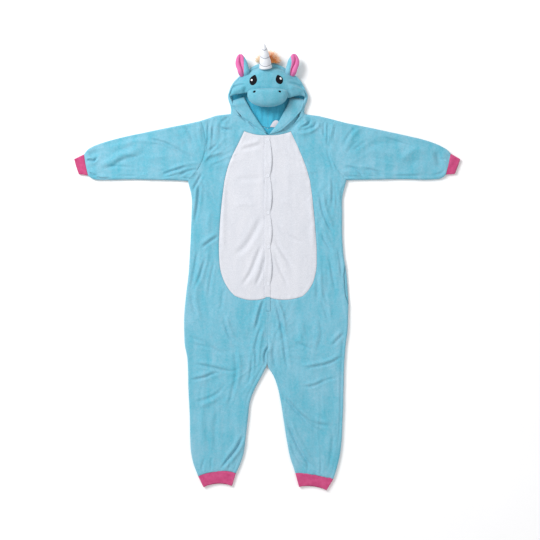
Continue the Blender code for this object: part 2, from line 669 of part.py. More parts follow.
# ---------------------------------------------------------------- hood
def hood_path(row):
    """The path of one hood section: plan points with heights, back seam to top edge."""
    back = Vector((CENTRE_X, row.back_y))
    edge = Vector((row.edge_x, row.edge_y))
    top = Vector((row.top_x, row.top_y))
    run = (edge - back).length
    lip = (top - edge).length
    middle = 0.45 * row.top_z + 1.0
    rise_width = min(17.0, 0.7 * run)
    path = []
    for step in (0.0, 0.12, 0.26, 0.40, 0.55, 0.70):
        place = back.lerp(edge, step * (1.0 - rise_width / run) / 0.70)
        path.append(Vector((place.x, place.y, 0.0)))
    for share in (0.45, 0.78, 0.94, 1.0):
        place = edge + (back - edge).normalized() * rise_width * (1.0 - share)
        path.append(Vector((place.x, place.y, middle * (1.0 - math.sqrt(1.0 - share ** 2)))))
    for share in (0.12, 0.42, 1.0):
        height = middle + (row.top_z - middle) * math.sqrt(1.0 - (1.0 - share) ** 2)
        place = edge + (top - edge).normalized() * lip * share
        path.append(Vector((place.x, place.y, height)))
    return path


def inside_path(path, edge_index, thickness):
    """The inner face of a hood section: its path moved into the fold by the cloth's thickness."""
    edge = path[edge_index].to_2d()
    out_low = (edge - path[0].to_2d()).normalized()
    out_high = (edge - path[-1].to_2d()).normalized()
    reach = [-(edge - point.to_2d()).length for point in path]
    moved = []
    last = len(path) - 1
    for index, point in enumerate(path):
        before, after = max(0, index - 1), min(last, index + 1)
        along = Vector((reach[after] - reach[before], path[after].z - path[before].z))
        if index == edge_index:
            along = Vector((0.0, 1.0))
        if index in (0, last):
            along = Vector((1.0 if index == 0 else -1.0, 0.0))
        along.normalize()
        out = out_low if index < edge_index else out_high
        if index == edge_index:
            out = (out_low + out_high).normalized()
        step = Vector((out.x * -along.y, out.y * -along.y, along.x))
        moved.append(point + step * thickness)
    return moved


def make_hood(side, rows, outward):
    outer, inner = [], []
    for row in rows:
        path = hood_path(row)
        inside = inside_path(path, HOOD_EDGE_POINT, CLOTH)
        for point, other in zip(path[:7], inside[:7]):
            lift = max(0.0, fold_height(point.x, point.y, HOOD_GATHERS))
            point.z += lift
            other.z += lift
        for line in (path, inside):
            if row is rows[-1]:
                for point in line:
                    point.x = CENTRE_X
            line[0].x = CENTRE_X
            for point in line:
                if abs(point.x - CENTRE_X) < SEAM_GAP:
                    point.x = CENTRE_X + outward * SEAM_GAP / 2
        outer.append([tuple(point) for point in path])
        inner.append([tuple(point) for point in inside])
    wall("hood_" + side, outer, inner, FLEECE_BLUE)


def make_hem(side, rows):
    outer, inner = [], []
    for row in rows:
        start = Vector((row.in_x, row.in_y, row.out_z - 1.0))
        end = Vector((row.out_x, row.out_y, row.out_z))
        outer_row, inner_row = [], []
        for share in (0.0, 0.12, 0.5, 0.88, 1.0):
            point = start.lerp(end, share)
            crown = 0.8 * (1.0 - (2.0 * share - 1.0) ** 4)
            outer_row.append((point.x, point.y, point.z - 0.8 + crown))
            inner_row.append((point.x, point.y, point.z - HEM_THICK))
        outer.append(outer_row)
        inner.append(inner_row)
    wall("hood_hem_" + side, outer, inner, FLEECE_BLUE)


def muzzle_line(x):
    """The upper outline of the muzzle in plan, where the face panel ends."""
    share = clamp((x - MUZZLE_CENTRE.x) / (MUZZLE_HALF.x + 1.2), -1.0, 1.0)
    return MUZZLE_CENTRE.y + (MUZZLE_HALF.y + 1.2) * math.sqrt(1.0 - share ** 2)


def face_rows():
    """Plan points and heights of the face panel, from the mouth's edge up to the crown."""
    grid = []
    for index, middle in enumerate(FACE_ROWS):
        right = HOOD_RIGHT[min(FIRST_FACE_ROW + index, len(HOOD_RIGHT) - 2)]
        left = HOOD_LEFT[min(FIRST_FACE_ROW + index, len(HOOD_LEFT) - 2)]
        last = index == len(FACE_ROWS) - 1
        inset = SEAM_GAP * 1.6
        row = []
        for share in FACE_COLUMNS:
            blend = (share + 1.0) / 2.0
            x = mix(right.top_x + inset, left.top_x - inset, blend)
            side_y = mix(right.top_y, left.top_y, blend)
            side_z = mix(right.top_z, left.top_z, blend)
            dome = 1.0 - abs(share) ** (2.4 if index else 2.0)
            y = mix(side_y, middle.middle_y, dome)
            if index == 0:
                y = side_y + 1.0
                if abs(x - MUZZLE_CENTRE.x) < MUZZLE_HALF.x + 1.0:
                    y = max(side_y + 1.0, muzzle_line(x) + 0.6)
            z = mix(side_z, middle.middle_z, dome)
            if last:
                y = mix(side_y, middle.middle_y, 1.0 - abs(share)) - 0.5 * inset
            row.append((x, y, z))
        grid.append(row)
    return grid


def make_face():
    outer = face_rows()
    inner = [[(x, y, z - CLOTH) for x, y, z in row] for row in outer]
    return wall("face", outer, inner, FLEECE_BLUE)


def make_muzzle():
    """A stuffed cushion, wider above its middle, sewn to the face's lower edge."""
    mesh_data = bmesh.new()
    bmesh.ops.create_uvsphere(mesh_data, u_segments=22, v_segments=10, radius=1.0)
    for vertex in mesh_data.verts:
        x, y, z = vertex.co
        depth = MUZZLE_HALF.y if y > 0 else MUZZLE_DEPTH_BELOW
        height = MUZZLE_HALF.z if z > 0 else MUZZLE_UNDER
        bulge = math.copysign(abs(z) ** 0.85, z)
        vertex.co = (MUZZLE_CENTRE + Vector((x * MUZZLE_HALF.x, y * depth, bulge * height))) * MM
    return add_object("muzzle", mesh_data, FLEECE_BLUE)


# ---------------------------------------------------------------- features on the face
def spot_outline(spot, count):
    """A leaning oval that narrows towards its upper end."""
    points = []
    for step in range(count):
        angle = math.tau * step / count
        x = math.cos(angle)
        y = math.sin(angle)
        narrow = 1.0 - spot.point * max(0.0, y) ** 1.6
        local = Vector((x * narrow * spot.half_x, y * spot.half_y))
        local.rotate(Matrix.Rotation(-spot.lean, 2))
        points.append(Vector((spot.x, spot.y)) + local)
    return points


def make_spot(name, spot, base, lift, thick, material, count=16):
    """A thin patch that follows the surface it lies on, lifted off it."""
    mesh_data = bmesh.new()
    rings = []
    for level in (lift, lift + thick):
        level_rings = []
        for scale in (1.0, 0.55):
            ring = []
            for point in spot_outline(spot, count):
                plan = Vector((spot.x, spot.y)).lerp(point, scale)
                height = surface_height(base, plan) + level
                ring.append(mesh_data.verts.new(Vector((plan.x, plan.y, height)) * MM))
            level_rings.append(ring)
        height = surface_height(base, Vector((spot.x, spot.y))) + level
        middle = mesh_data.verts.new(Vector((spot.x, spot.y, height)) * MM)
        rings.append((level_rings, middle))
    for level_rings, middle in rings:
        outer, inner = level_rings
        for step in range(count):
            after = (step + 1) % count
            mesh_data.faces.new([outer[step], outer[after], inner[after], inner[step]])
            mesh_data.faces.new([inner[step], inner[after], middle])
    low, high = rings[0][0][0], rings[1][0][0]
    for step in range(count):
        after = (step + 1) % count
        mesh_data.faces.new([low[step], low[after], high[after], high[step]])
    bmesh.ops.recalc_face_normals(mesh_data, faces=mesh_data.faces)
    return add_object(name, mesh_data, material)


def surface_height(base, plan):
    """Height of a made piece's upper face over a plan point, in millimetres."""
    start = Vector((plan.x * MM, plan.y * MM, 1.0))
    hit, place, _, _ = base.ray_cast(start, Vector((0, 0, -1)))
    return place.z / MM if hit else FLAT_TOP


# ---------------------------------------------------------------- ears
def ear_section(row, mirror, points, offset):
    """One section of an ear: its folded path, offset to the outside of the fold."""
    path = [Vector((row.centre_x + mirror * p.across * row.width, p.up * row.width + row.lift))
            for p in EAR_PATH[:points]]
    moved = []
    for index, point in enumerate(path):
        before = path[max(0, index - 1)]
        after = path[min(len(path) - 1, index + 1)]
        ahead = (after - before).normalized()
        normal = Vector((-ahead.y, ahead.x)) * mirror
        moved.append(point + normal * offset)
    return [(p.x, row.y, p.y) for p in moved]


def make_ear(side, rows, mirror):
    thin = 0.5
    outer, inner, pink_low, pink_high = [], [], [], []
    for row in rows:
        cloth = EAR_CLOTH * mix(thin, 1.0, ease(row.width))
        outer.append(ear_section(row, mirror, len(EAR_PATH), cloth))
        inner.append(ear_section(row, mirror, len(EAR_PATH), 0.0))
        pink_low.append(ear_section(row, mirror, EAR_PINK_POINTS, -0.4))
        pink_high.append(ear_section(row, mirror, EAR_PINK_POINTS, -0.4 - PINK_CLOTH * row.width))
    wall("ear_" + side, outer, inner, FLEECE_BLUE)
    wall("ear_inner_" + side, pink_high[:-1], pink_low[:-1], FLEECE_PINK)


# ---------------------------------------------------------------- placket, snaps, label
def scallop_edge(y):
    """The placket's free edge stands out between two snaps and is held in at each."""
    heights = [snap[1] for snap in SNAPS]
    for upper, lower in zip(heights, heights[1:]):
        if lower <= y <= upper:
            return PLACKET_RIGHT + SCALLOP * math.sin(math.pi * (y - lower) / (upper - lower))
    return PLACKET_RIGHT


def flat_piece(name, outline, low, thickness, material):
    """A flat outline as a filled curve with half its thickness on each side."""
    curve = bpy.data.curves.new(name, "CURVE")
    curve.dimensions = "2D"
    curve.fill_mode = "BOTH"
    curve.extrude = thickness * MM / 2
    spline = curve.splines.new("POLY")
    spline.points.add(len(outline) - 1)
    for point, (x, y) in zip(spline.points, outline):
        point.co = (x * MM, y * MM, 0.0, 1.0)
    spline.use_cyclic_u = True
    curve.materials.append(material)
    obj = bpy.data.objects.new(name, curve)
    obj.location.z = (low + thickness / 2) * MM
    GARMENT.objects.link(obj)
    weld = obj.modifiers.new("weld", "WELD")
    weld.merge_threshold = 0.00001
    return obj


def make_placket():
    low = FLAT_TOP + SEAM_GAP
    steps = 40
    right = []
    for step in range(steps + 1):
        y = mix(PLACKET_TOP, PLACKET_BOTTOM, step / steps)
        right.append((scallop_edge(y), y))
    outline = [(PLACKET_LEFT, PLACKET_BOTTOM), (PLACKET_LEFT, PLACKET_TOP)] + right
    flat_piece("placket", outline, low, PLACKET_THICK, FLEECE_WHITE)
    lower = [(-4.5, LOWER_PLACKET_BOTTOM), (-4.5, PLACKET_BOTTOM - SEAM_GAP),
             (10.5, PLACKET_BOTTOM - SEAM_GAP), (10.5, LOWER_PLACKET_BOTTOM)]
    flat_piece("placket_lower", lower, low, PLACKET_THICK, FLEECE_BLUE)


def make_snap(index, x, y):
    mesh_data = bmesh.new()
    bmesh.ops.create_cone(mesh_data, cap_ends=True, segments=14, radius1=SNAP_RADIUS * MM,
                          radius2=SNAP_RADIUS * 0.78 * MM, depth=SNAP_HEIGHT * MM)
    obj = add_object("snap_" + str(index), mesh_data, SNAP_WHITE)
    height = FLAT_TOP + 2 * SEAM_GAP + PLACKET_THICK + SNAP_HEIGHT / 2
    obj.location = Vector((x, y, height)) * MM


def make_label():
    """The bare care label in the neck, on the hood's back, one corner lifted."""
    corners = (Vector((9, 420.5, 3.6)), Vector((19, 441, 4.2)),
               Vector((36, 438, 4.4)), Vector((28, 421, 3.8)))
    thick = 0.8
    outer, inner = [], []
    for step in range(4):
        share = step / 3
        start = corners[0].lerp(corners[1], share)
        end = corners[3].lerp(corners[2], share)
        row = [start.lerp(end, part / 3) for part in range(4)]
        outer.append([(p.x, p.y, p.z + thick) for p in row])
        inner.append([tuple(p) for p in row])
    wall("care_label", outer, inner, LABEL_CLOTH)


def set_back_pocket(rows):
    """Draw the front's side edge in along the pocket slit; return the rows and the depths."""
    result, beside = [], []
    for row in rows:
        depth = 0.0
        if POCKET_BOTTOM < row.side_y < POCKET_TOP:
            place = (row.side_y - POCKET_BOTTOM) / (POCKET_TOP - POCKET_BOTTOM)
            depth = POCKET_SET_BACK * clamp(4.0 * min(place, 1.0 - place))
            beside.append((row, depth))
        result.append(row._replace(side_x=row.side_x - depth))
    return result, beside


def make_pocket(beside):
    """The strip of the wearer's left pocket that shows outside its slit in the side seam."""
    outer, inner = [], []
    for row, depth in beside:
        start = row.side_x - depth + 2.0 * SEAM_GAP
        outer_row, inner_row = [], []
        for share in (0.0, 0.4, 0.8, 1.0):
            x = mix(start, row.side_x, share)
            outer_row.append((x, row.side_y, mix(7.2, 6.4, share ** 2)))
            inner_row.append((x, row.side_y, MID + SEAM_GAP))
        outer.append(outer_row)
        inner.append(inner_row)
    wall("pocket_left", outer, inner, FLEECE_BLUE)


# ---------------------------------------------------------------- horn and mane
def horn_axis():
    return Vector((-math.sin(HORN_TURN) * math.cos(HORN_TILT),
                   math.cos(HORN_TURN) * math.cos(HORN_TILT), math.sin(HORN_TILT)))


def make_horn():
    """A stuffed cone drawn in by thread rings, each a shallow waist."""
    mesh_data = bmesh.new()
    axis = horn_axis()
    across = axis.cross(Vector((0, 0, 1))).normalized()
    up = across.cross(axis).normalized()
    rings = []
    for ring_start in HORN_RINGS:
        for share, waist in HORN_WAIST:
            place = HORN_BASE + axis * HORN_LENGTH * (ring_start + share)
            radius = HORN_RADIUS * (1.0 - ring_start - share) ** 0.92 * waist
            ring = []
            for step in range(HORN_SIDES):
                angle = math.tau * step / HORN_SIDES
                spoke = across * math.cos(angle) + up * math.sin(angle)
                ring.append(mesh_data.verts.new((place + spoke * radius) * MM))
            rings.append(ring)
    for low, high in zip(rings, rings[1:]):
        for step in range(HORN_SIDES):
            after = (step + 1) % HORN_SIDES
            mesh_data.faces.new([low[step], low[after], high[after], high[step]])
    mesh_data.faces.new(list(reversed(rings[0])))
    tip = mesh_data.verts.new((HORN_BASE + axis * HORN_LENGTH) * MM)
    for step in range(HORN_SIDES):
        mesh_data.faces.new([rings[-1][step], rings[-1][(step + 1) % HORN_SIDES], tip])
    bmesh.ops.recalc_face_normals(mesh_data, faces=mesh_data.faces)
    add_object("horn", mesh_data, HORN_CLOTH)


def make_mane(name, bed, material, rng):
    """A narrow backing whose front face is a grid; each cell grows one tapering lock."""
    mesh_data = bmesh.new()
    x_lines = [mix(bed.x0, bed.x1, i / bed.columns) for i in range(bed.columns + 1)]
    z_lines = [mix(MANE_Z[0], MANE_Z[1], i / bed.layers) for i in range(bed.layers + 1)]
    front = [[mesh_data.verts.new(Vector((x, MANE_Y[1], z)) * MM) for z in z_lines] for x in x_lines]
    back = [[mesh_data.verts.new(Vector((x, MANE_Y[0], z)) * MM) for z in z_lines] for x in x_lines]
    cells = []
    for i in range(bed.columns):
        for j in range(bed.layers):
            cell = mesh_data.faces.new([front[i][j], front[i][j + 1],
                                        front[i + 1][j + 1], front[i + 1][j]])
            cells.append((i, j, cell))
            mesh_data.faces.new([back[i][j], back[i + 1][j], back[i + 1][j + 1], back[i][j + 1]])
    for i in range(bed.columns):
        for j in (0, bed.layers):
            mesh_data.faces.new([front[i][j], front[i + 1][j], back[i + 1][j], back[i][j]])
    for j in range(bed.layers):
        for i in (0, bed.columns):
            mesh_data.faces.new([front[i][j], back[i][j], back[i][j + 1], front[i][j + 1]])
    for i, j, cell in cells:
        share = (i + 0.5) / bed.columns
        angle = math.radians(mix(bed.angle0, bed.angle1, share))
        rise = math.radians(mix(-5.0, 20.0, j / (bed.layers - 1)))
        length = mix(bed.length0, bed.length1, share) * rng.uniform(0.82, 1.12)
        heading = Vector((math.cos(angle) * math.cos(rise), math.sin(angle) * math.cos(rise),
                          math.sin(rise)))
        grow_lock(mesh_data, cell, heading, length)
    bmesh.ops.recalc_face_normals(mesh_data, faces=mesh_data.faces)
    add_object(name, mesh_data, material, smooth=False)


def grow_lock(mesh_data, cell, heading, length):
    """Raise a cell straight out for a little, then draw it to a point along heading."""
    corners = [vertex.co.copy() for vertex in cell.verts]
    start = list(cell.verts)
    middle = sum(corners, Vector()) / 4
    mesh_data.faces.remove(cell)
    straight = Vector((0, 1, 0))
    for reach, size in ((0.12, 0.62), (0.5, 0.5)):
        bend = straight.lerp(heading, clamp(reach * 2.0)).normalized()
        place = middle + bend * length * reach * MM
        ring = [mesh_data.verts.new(place + (corner - middle) * size) for corner in corners]
        for step in range(4):
            after = (step + 1) % 4
            mesh_data.faces.new([start[step], start[after], ring[after], ring[step]])
        start = ring
    tip = mesh_data.verts.new(middle + heading * length * MM)
    for step in range(4):
        mesh_data.faces.new([start[step], start[(step + 1) % 4], tip])


# ---------------------------------------------------------------- build
clear_scene()
GARMENT = new_collection("unicorn_onesie")
FLEECE_BLUE = cloth_material("fleece_blue", BLUE)
FLEECE_WHITE = cloth_material("fleece_white", WHITE)
FLEECE_PINK = cloth_material("ear_pink", EAR_PINK)
RIB_KNIT = cloth_material("rib_pink", RIB_PINK)
HORN_CLOTH = cloth_material("horn_white", WHITE, 0.6)
EYE_CLOTH = cloth_material("eye_black", BLACK, 0.4)
SNAP_WHITE = cloth_material("snap_white", WHITE, 0.35)
LABEL_CLOTH = cloth_material("label_white", WHITE, 0.5)
MANE_ORANGE = cloth_material("mane_orange", ORANGE)
MANE_CREAM = cloth_material("mane_cream", CREAM)


def build():
    for side, top, low, sleeve, ankle, outward in (
            ("right", TOP_RIGHT, LOW_RIGHT, SLEEVE_RIGHT, ANKLE_CUFF_RIGHT[0], -1.0),
            ("left", TOP_LEFT, LOW_LEFT, SLEEVE_LEFT, ANKLE_CUFF_LEFT[0], 1.0)):
        rows, _, crotch = body_rows(top, low, sleeve[0], BACK_SPACING)
        make_back(side, rows, crotch, ankle, outward)
        rows, belly_bottom, crotch = body_rows(top, low, sleeve[0], ROW_SPACING)
        if side == "left":
            rows, beside = set_back_pocket(rows)
            make_pocket(beside)
        make_front(side, rows, belly_bottom, crotch, ankle, outward)
        make_sleeve(side, sleeve, outward)
    make_cuff("wrist_cuff_right", WRIST_CUFF_RIGHT, WRIST_RIBS)
    make_cuff("wrist_cuff_left", WRIST_CUFF_LEFT, WRIST_RIBS)
    make_cuff("ankle_cuff_right", ANKLE_CUFF_RIGHT, ANKLE_RIBS)
    make_cuff("ankle_cuff_left", ANKLE_CUFF_LEFT, ANKLE_RIBS)
    make_placket()
    for index, (x, y) in enumerate(SNAPS, start=1):
        make_snap(index, x, y)
    make_hood("right", HOOD_RIGHT, -1.0)
    make_hood("left", HOOD_LEFT, 1.0)
    make_hem("right", HEM_RIGHT)
    make_hem("left", HEM_LEFT)
    face = make_face()
    muzzle = make_muzzle()
    bpy.context.view_layer.update()
    for side, eye, glint, nostril in zip(("right", "left"), EYES, GLINTS, NOSTRILS):
        patch = make_spot("eye_" + side, eye, face, 0.7, SPOT_THICK, EYE_CLOTH)
        make_spot("nostril_" + side, nostril, muzzle, 1.1, SPOT_THICK, EYE_CLOTH, 10)
        bpy.context.view_layer.update()
        make_spot("glint_" + side, glint, patch, 0.3, 0.6, FLEECE_WHITE, 8)
    make_ear("right", EAR_RIGHT, -1.0)
    make_ear("left", EAR_LEFT, 1.0)
    make_label()
    make_horn()
    rng = random.Random(SEED)
    make_mane("mane_orange", MANE_BEDS["mane_orange"], MANE_ORANGE, rng)
    make_mane("mane_cream", MANE_BEDS["mane_cream"], MANE_CREAM, rng)
    for piece in GARMENT.objects:
        piece.location += Vector(ORIGIN_SHIFT) * MM


build()
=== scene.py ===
"""Looks of a child's unicorn onesie in fleece, laid out flat on its back.

Tables and functions work in millimetres in the garment's own drawing: z = 0 is the floor, +Y runs
to the hood, +X to the wearer's left.  add_piece shifts them by ORIGIN_SHIFT into the CAD's frame.
"""
import math
import random
from collections import namedtuple

import bmesh
import bpy
import numpy as np
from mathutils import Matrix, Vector
from mathutils.bvhtree import BVHTree


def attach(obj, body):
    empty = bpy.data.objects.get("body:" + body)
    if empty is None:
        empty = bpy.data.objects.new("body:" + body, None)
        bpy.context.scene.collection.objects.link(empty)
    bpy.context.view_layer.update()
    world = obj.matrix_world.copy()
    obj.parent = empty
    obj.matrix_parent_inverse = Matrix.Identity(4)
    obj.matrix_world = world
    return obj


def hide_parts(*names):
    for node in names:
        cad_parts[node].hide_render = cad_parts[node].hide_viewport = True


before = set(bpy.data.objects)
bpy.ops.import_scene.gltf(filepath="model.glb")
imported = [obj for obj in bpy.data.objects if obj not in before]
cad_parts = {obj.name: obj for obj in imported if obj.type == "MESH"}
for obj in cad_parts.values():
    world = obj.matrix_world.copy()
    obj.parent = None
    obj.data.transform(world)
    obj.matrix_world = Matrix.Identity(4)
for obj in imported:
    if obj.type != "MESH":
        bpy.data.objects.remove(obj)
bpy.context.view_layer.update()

# ---------------------------------------------------------------- sizes in millimetres
MM = 0.001
ORIGIN_SHIFT = np.array((-0.5, 5.75, 0.0))
CLOTH = 2.6                 # fleece with its pile
RIB_CLOTH, RIB_INSET = 2.1, 2.0
EAR_CLOTH = 1.3             # half of an ear's wall
SEAM_GAP = 0.06
FLAT_TOP = 9.5              # outer face of the fronts
MID = FLAT_TOP / 2          # height of the side seams
HALF_GAP = 0.15             # from there to each panel's edge
EDGE_ROUND = 6.0            # how far in from a side seam the cloth has turned flat
CENTRE_X = 3.0
FINE = 3.4                  # spacing of the body's grid
FLOOR_GAP = 0.05
FOLD_STRENGTH = 1.8
SLEEVE_TUCK, CUFF_TUCK = 1.6, 1.4           # how far a tube runs on under its neighbour
TUCK_THIN = 0.93                            # and how much flatter it is there
STITCH_INSET, SCALLOP_INSET = 2.6, 2.8      # from an edge to its row of stitches
KEY_POWER, FILL_POWER, WORLD_LIGHT = 158.0, 24.0, 0.60
CAMERA_HEIGHT = 4000.0
CAMERA_X, CAMERA_Y = 9.0, -9.0
VIEW_WIDTH = 1620.0
SENSOR = 36.0


# ---------------------------------------------------------------- arithmetic on arrays
def ease(value):
    value = np.clip(value, 0.0, 1.0)
    return value * value * (3.0 - 2.0 * value)


def mix(a, b, t):
    return a + (b - a) * t


def hump(value, width):
    return np.exp(-(value / width) ** 2)


def bow(share):
    """0 at both ends of a line, 1 in its middle."""
    return 4.0 * share * (1.0 - share)


def quarter_round(distance, radius):
    """0 at an edge, 1 from radius on, as a quarter circle rises."""
    return np.sqrt(1.0 - (1.0 - np.clip(distance / radius, 0.0, 1.0)) ** 2)


def ripple(x, y, scale, seed):
    """Smooth random heights between -1 and 1, about scale wide."""
    table = np.random.default_rng(seed).uniform(-1.0, 1.0, (97, 97))
    u, v = np.asarray(x) / scale + 500.0, np.asarray(y) / scale + 500.0
    i, j = np.floor(u).astype(int), np.floor(v).astype(int)
    s, t = ease(u - i), ease(v - j)
    low = mix(table[i % 97, j % 97], table[(i + 1) % 97, j % 97], s)
    high = mix(table[i % 97, (j + 1) % 97], table[(i + 1) % 97, (j + 1) % 97], s)
    return mix(low, high, t)


def smooth_rows(values, length, samples, corners=()):
    """Values of a table at samples of its length, smooth but at the rows named as corners."""
    values, length = np.asarray(values, float), np.asarray(length, float)
    slope = np.gradient(values, length, axis=0)
    step = np.diff(length)
    straight = np.diff(values, axis=0) / step[:, None]
    index = np.clip(np.searchsorted(length, samples, side="right") - 1, 0, len(length) - 2)
    start, end = slope[index].copy(), slope[index + 1].copy()
    for corner in corners:
        start[index == corner] = straight[index[index == corner]]
        end[index + 1 == corner] = straight[index[index + 1 == corner]]
    t = ((samples - length[index]) / step[index])[:, None]
    h = step[index][:, None]
    return ((2 * t ** 3 - 3 * t ** 2 + 1) * values[index] + (t ** 3 - 2 * t ** 2 + t) * h * start
            + (3 * t ** 2 - 2 * t ** 3) * values[index + 1] + (t ** 3 - t ** 2) * h * end)


def spread(length, spacing, near=()):
    """Sample places: every table row, even steps between them and close steps after the start."""
    places = set()
    for a, b in zip(length, length[1:]):
        count = max(1, round((b - a) / spacing))
        places.update(a + (b - a) * i / count for i in range(count + 1))
    places.update(length[0] + step for step in near)
    return np.array(sorted(places))


def chord(points):
    """Length run along a row of points."""
    steps = np.hypot(*np.diff(np.asarray(points, float), axis=0).T)
    return np.concatenate([[0.0], np.cumsum(steps)])


def side_of_line(line, x, y):
    """Distance to a line of points, the share of it at the nearest place, and the side's sign."""
    line = np.asarray(line, float)
    best = np.full(np.shape(x), 1e9)
    share, sign = np.zeros(np.shape(x)), np.ones(np.shape(x))
    run = chord(line)
    for k in range(len(line) - 1):
        dx, dy = line[k + 1] - line[k]
        px, py = x - line[k, 0], y - line[k, 1]
        t = np.clip((px * dx + py * dy) / (dx * dx + dy * dy), 0.0, 1.0)
        distance = np.hypot(px - t * dx, py - t * dy)
        near = distance < best
        best = np.where(near, distance, best)
        share = np.where(near, mix(run[k], run[k + 1], t) / run[-1], share)
        sign = np.where(near, np.sign(dx * py - dy * px), sign)
    return best, share, sign


def distance_to(line, x, y):
    return side_of_line(line, x, y)[0]


# ---------------------------------------------------------------- outline tables
def named(kind, *table):
    """A table's rows with names for their values."""
    return [kind(*row) for row in table]


ARMHOLE_STEPS = (0.0, 0.08, 0.14, 0.20, 0.28, 0.36, 0.50, 0.64, 0.80, 1.0)
BELLY_TOP = ARMHOLE_STEPS.index(0.36)
TopRow = namedtuple("TopRow", "centre_x centre_y panel_x panel_y sag")
TOP_RIGHT = named(
    TopRow,
    (-107, 458.5, -152, 453.5, 0), (-84, 456, -141, 441, 0), (-66, 449, -126, 431.5, 0),
    (-50, 437.5, -108, 423, 2), (-26, 417.5, -86, 414, 4), (3, 395, -68, 407, 4.5),
    (3, 370, -86, 370, 0), (3, 338, -102, 338, 0), (3, 300, -117, 300, 0), (3, 258, -127.5, 258, 0),
)
TOP_LEFT = named(
    TopRow,
    (113, 457.5, 156, 452, 0), (94, 455, 144, 440.5, 0), (76, 443.5, 128, 432, 0),
    (56, 427, 110, 423.5, 2), (34, 409.5, 90, 414, 3), (3, 395, 71, 406, 4), (3, 370, 88, 370, 0),
    (3, 338, 102, 338, 0), (3, 300, 117, 300, 0), (3, 258, 129, 258, 0),
)
LowRow = namedtuple("LowRow", "centre_x centre_y panel_x panel_y side_x side_y sag")
LOW_RIGHT = named(
    LowRow,
    (3, 216, -133, 216, -226, 212, 0), (3, 160, -139, 160, -226, 158, 0),
    (3, 100, -143, 100, -228, 100, 0), (3, 40, -144, 42, -231, 40, 0),
    (3, -20, -138, -16, -235, -22, 0), (3, -60, -122, -55, -241, -72, 4),
    (3, -77, -110.5, -72, -243, -90, 7.5), (3, -91, -97, -86, -245, -108, 11),
    (3, -118, -116, -124, -248, -145, 4), (3, -160, -122, -172, -248, -195, 0),
    (2, -205, -122, -218, -246, -235, 0), (1, -250, -121, -262, -239, -270, 0),
    (0, -285, -120, -296, -237, -300, 0), (-3, -301, -122, -322, -236, -328, 0),
    (-17, -328, -128, -345, -236, -350, 0), (-35, -362, -137, -374, -235, -378, 0),
    (-50, -400, -143, -406, -233, -410, 0), (-57, -451, -146, -455, -231, -456, 0),
    (-64, -513, -149, -513, -230, -512, 0), (-71, -561, -150, -560, -227, -558, 0),
    (-82, -594, -150, -590, -219, -593, 0), (-93, -618, -148, -613.5, -206, -627, -5),
)
LOW_LEFT = named(
    LowRow,
    (3, 216, 135, 216, 226, 212, 0), (3, 160, 141, 160, 225, 158, 0),
    (3, 100, 146, 100, 225, 98, 0), (3, 40, 149, 42, 229, 38, 0), (3, -20, 146, -18, 238, -20, 0),
    (3, -60, 131, -60, 242, -72, 4), (3, -77, 119, -76, 243, -90, 7),
    (3, -91, 106, -88, 244, -107, 9), (3, -118, 120, -128, 243, -150, 4),
    (3, -160, 123, -172, 241, -195, 0), (2, -205, 123, -220, 236, -232, 0),
    (1, -250, 122, -262, 233, -268, 0), (0, -285, 121, -295, 231, -300, 0),
    (3, -301, 124, -322, 230, -328, 0), (18, -323, 130, -345, 230, -350, 0),
    (32, -360, 137, -375, 229, -378, 0), (41, -403, 142, -408, 228.5, -410, 0),
    (51, -466, 146, -466, 226, -466, 0), (60, -523, 148, -523, 223, -523, 0),
    (70, -572, 146, -568, 217, -570, 0), (80, -602, 144, -600, 208, -606, 0),
    (85, -618, 141, -622, 199, -635, 0),
)
BELLY_BOTTOM_LOW = 7
CROTCH_LOW = 13
Section = namedtuple("Section", "ax ay bx by bulge")
SLEEVE_RIGHT = named(
    Section,
    (-198, 438, -237, 258, 31.5), (-228, 431, -262, 259, 15), (-273, 422, -302, 260.5, 4),
    (-318, 413, -338, 261, 1), (-370, 402, -382, 262, 0), (-425, 390.5, -430, 262, 0),
    (-477, 377, -474, 261, 0), (-505, 368, -499, 261, 0), (-526, 359, -517, 262.5, -1),
    (-539, 350, -528, 267, -1), (-548, 338, -536, 274, -1),
)
SLEEVE_LEFT = named(
    Section,
    (201, 441, 238, 260, -32), (231, 433, 265, 261, -15), (275, 424, 304, 261.5, -4),
    (319, 415, 339, 262, -1), (370, 404, 381, 263, 0), (425, 392, 428, 263, 0),
    (477, 379, 473, 261.5, 0), (506, 369, 499, 262.5, 0), (527, 359, 519, 265, 1),
    (541, 350, 529, 270, 1), (550, 340, 535, 276, 1),
)
WRIST_RIGHT = named(Section, (-549, 337, -537, 275, -1), (-578, 323, -564, 278, -1))
WRIST_LEFT = named(Section, (551, 339, 536, 277, 1), (579, 323, 563, 279, 1))
ANKLE_RIGHT = named(Section, (-93, -618, -206, -627, -10.5), (-105, -656, -190, -660, -8))
ANKLE_LEFT = named(Section, (85, -618, 199, -635, 4.5), (96, -659, 178, -669, 6))
POCKET_TOP, POCKET_BOTTOM, POCKET_SET_BACK = 4.0, -112.0, 8.0

# ---------------------------------------------------------------- folds of the cloth
# width is a fold's half width and height its rise; below 0 it is a trough.  lean puts a sharper
# trough on its left (+) or right (-) side, seen from its start.  places are x, y of its course.
Fold = namedtuple("Fold", "width height lean line")


def make_folds(*table):
    folds = []
    for width, height, lean, *places in table:
        course = np.array(places, float).reshape(-1, 2)
        length = chord(course)
        fine = smooth_rows(course, length, np.linspace(0.0, length[-1], 4 * len(course) + 1))
        folds.append(Fold(width, height, lean, fine))
    return folds


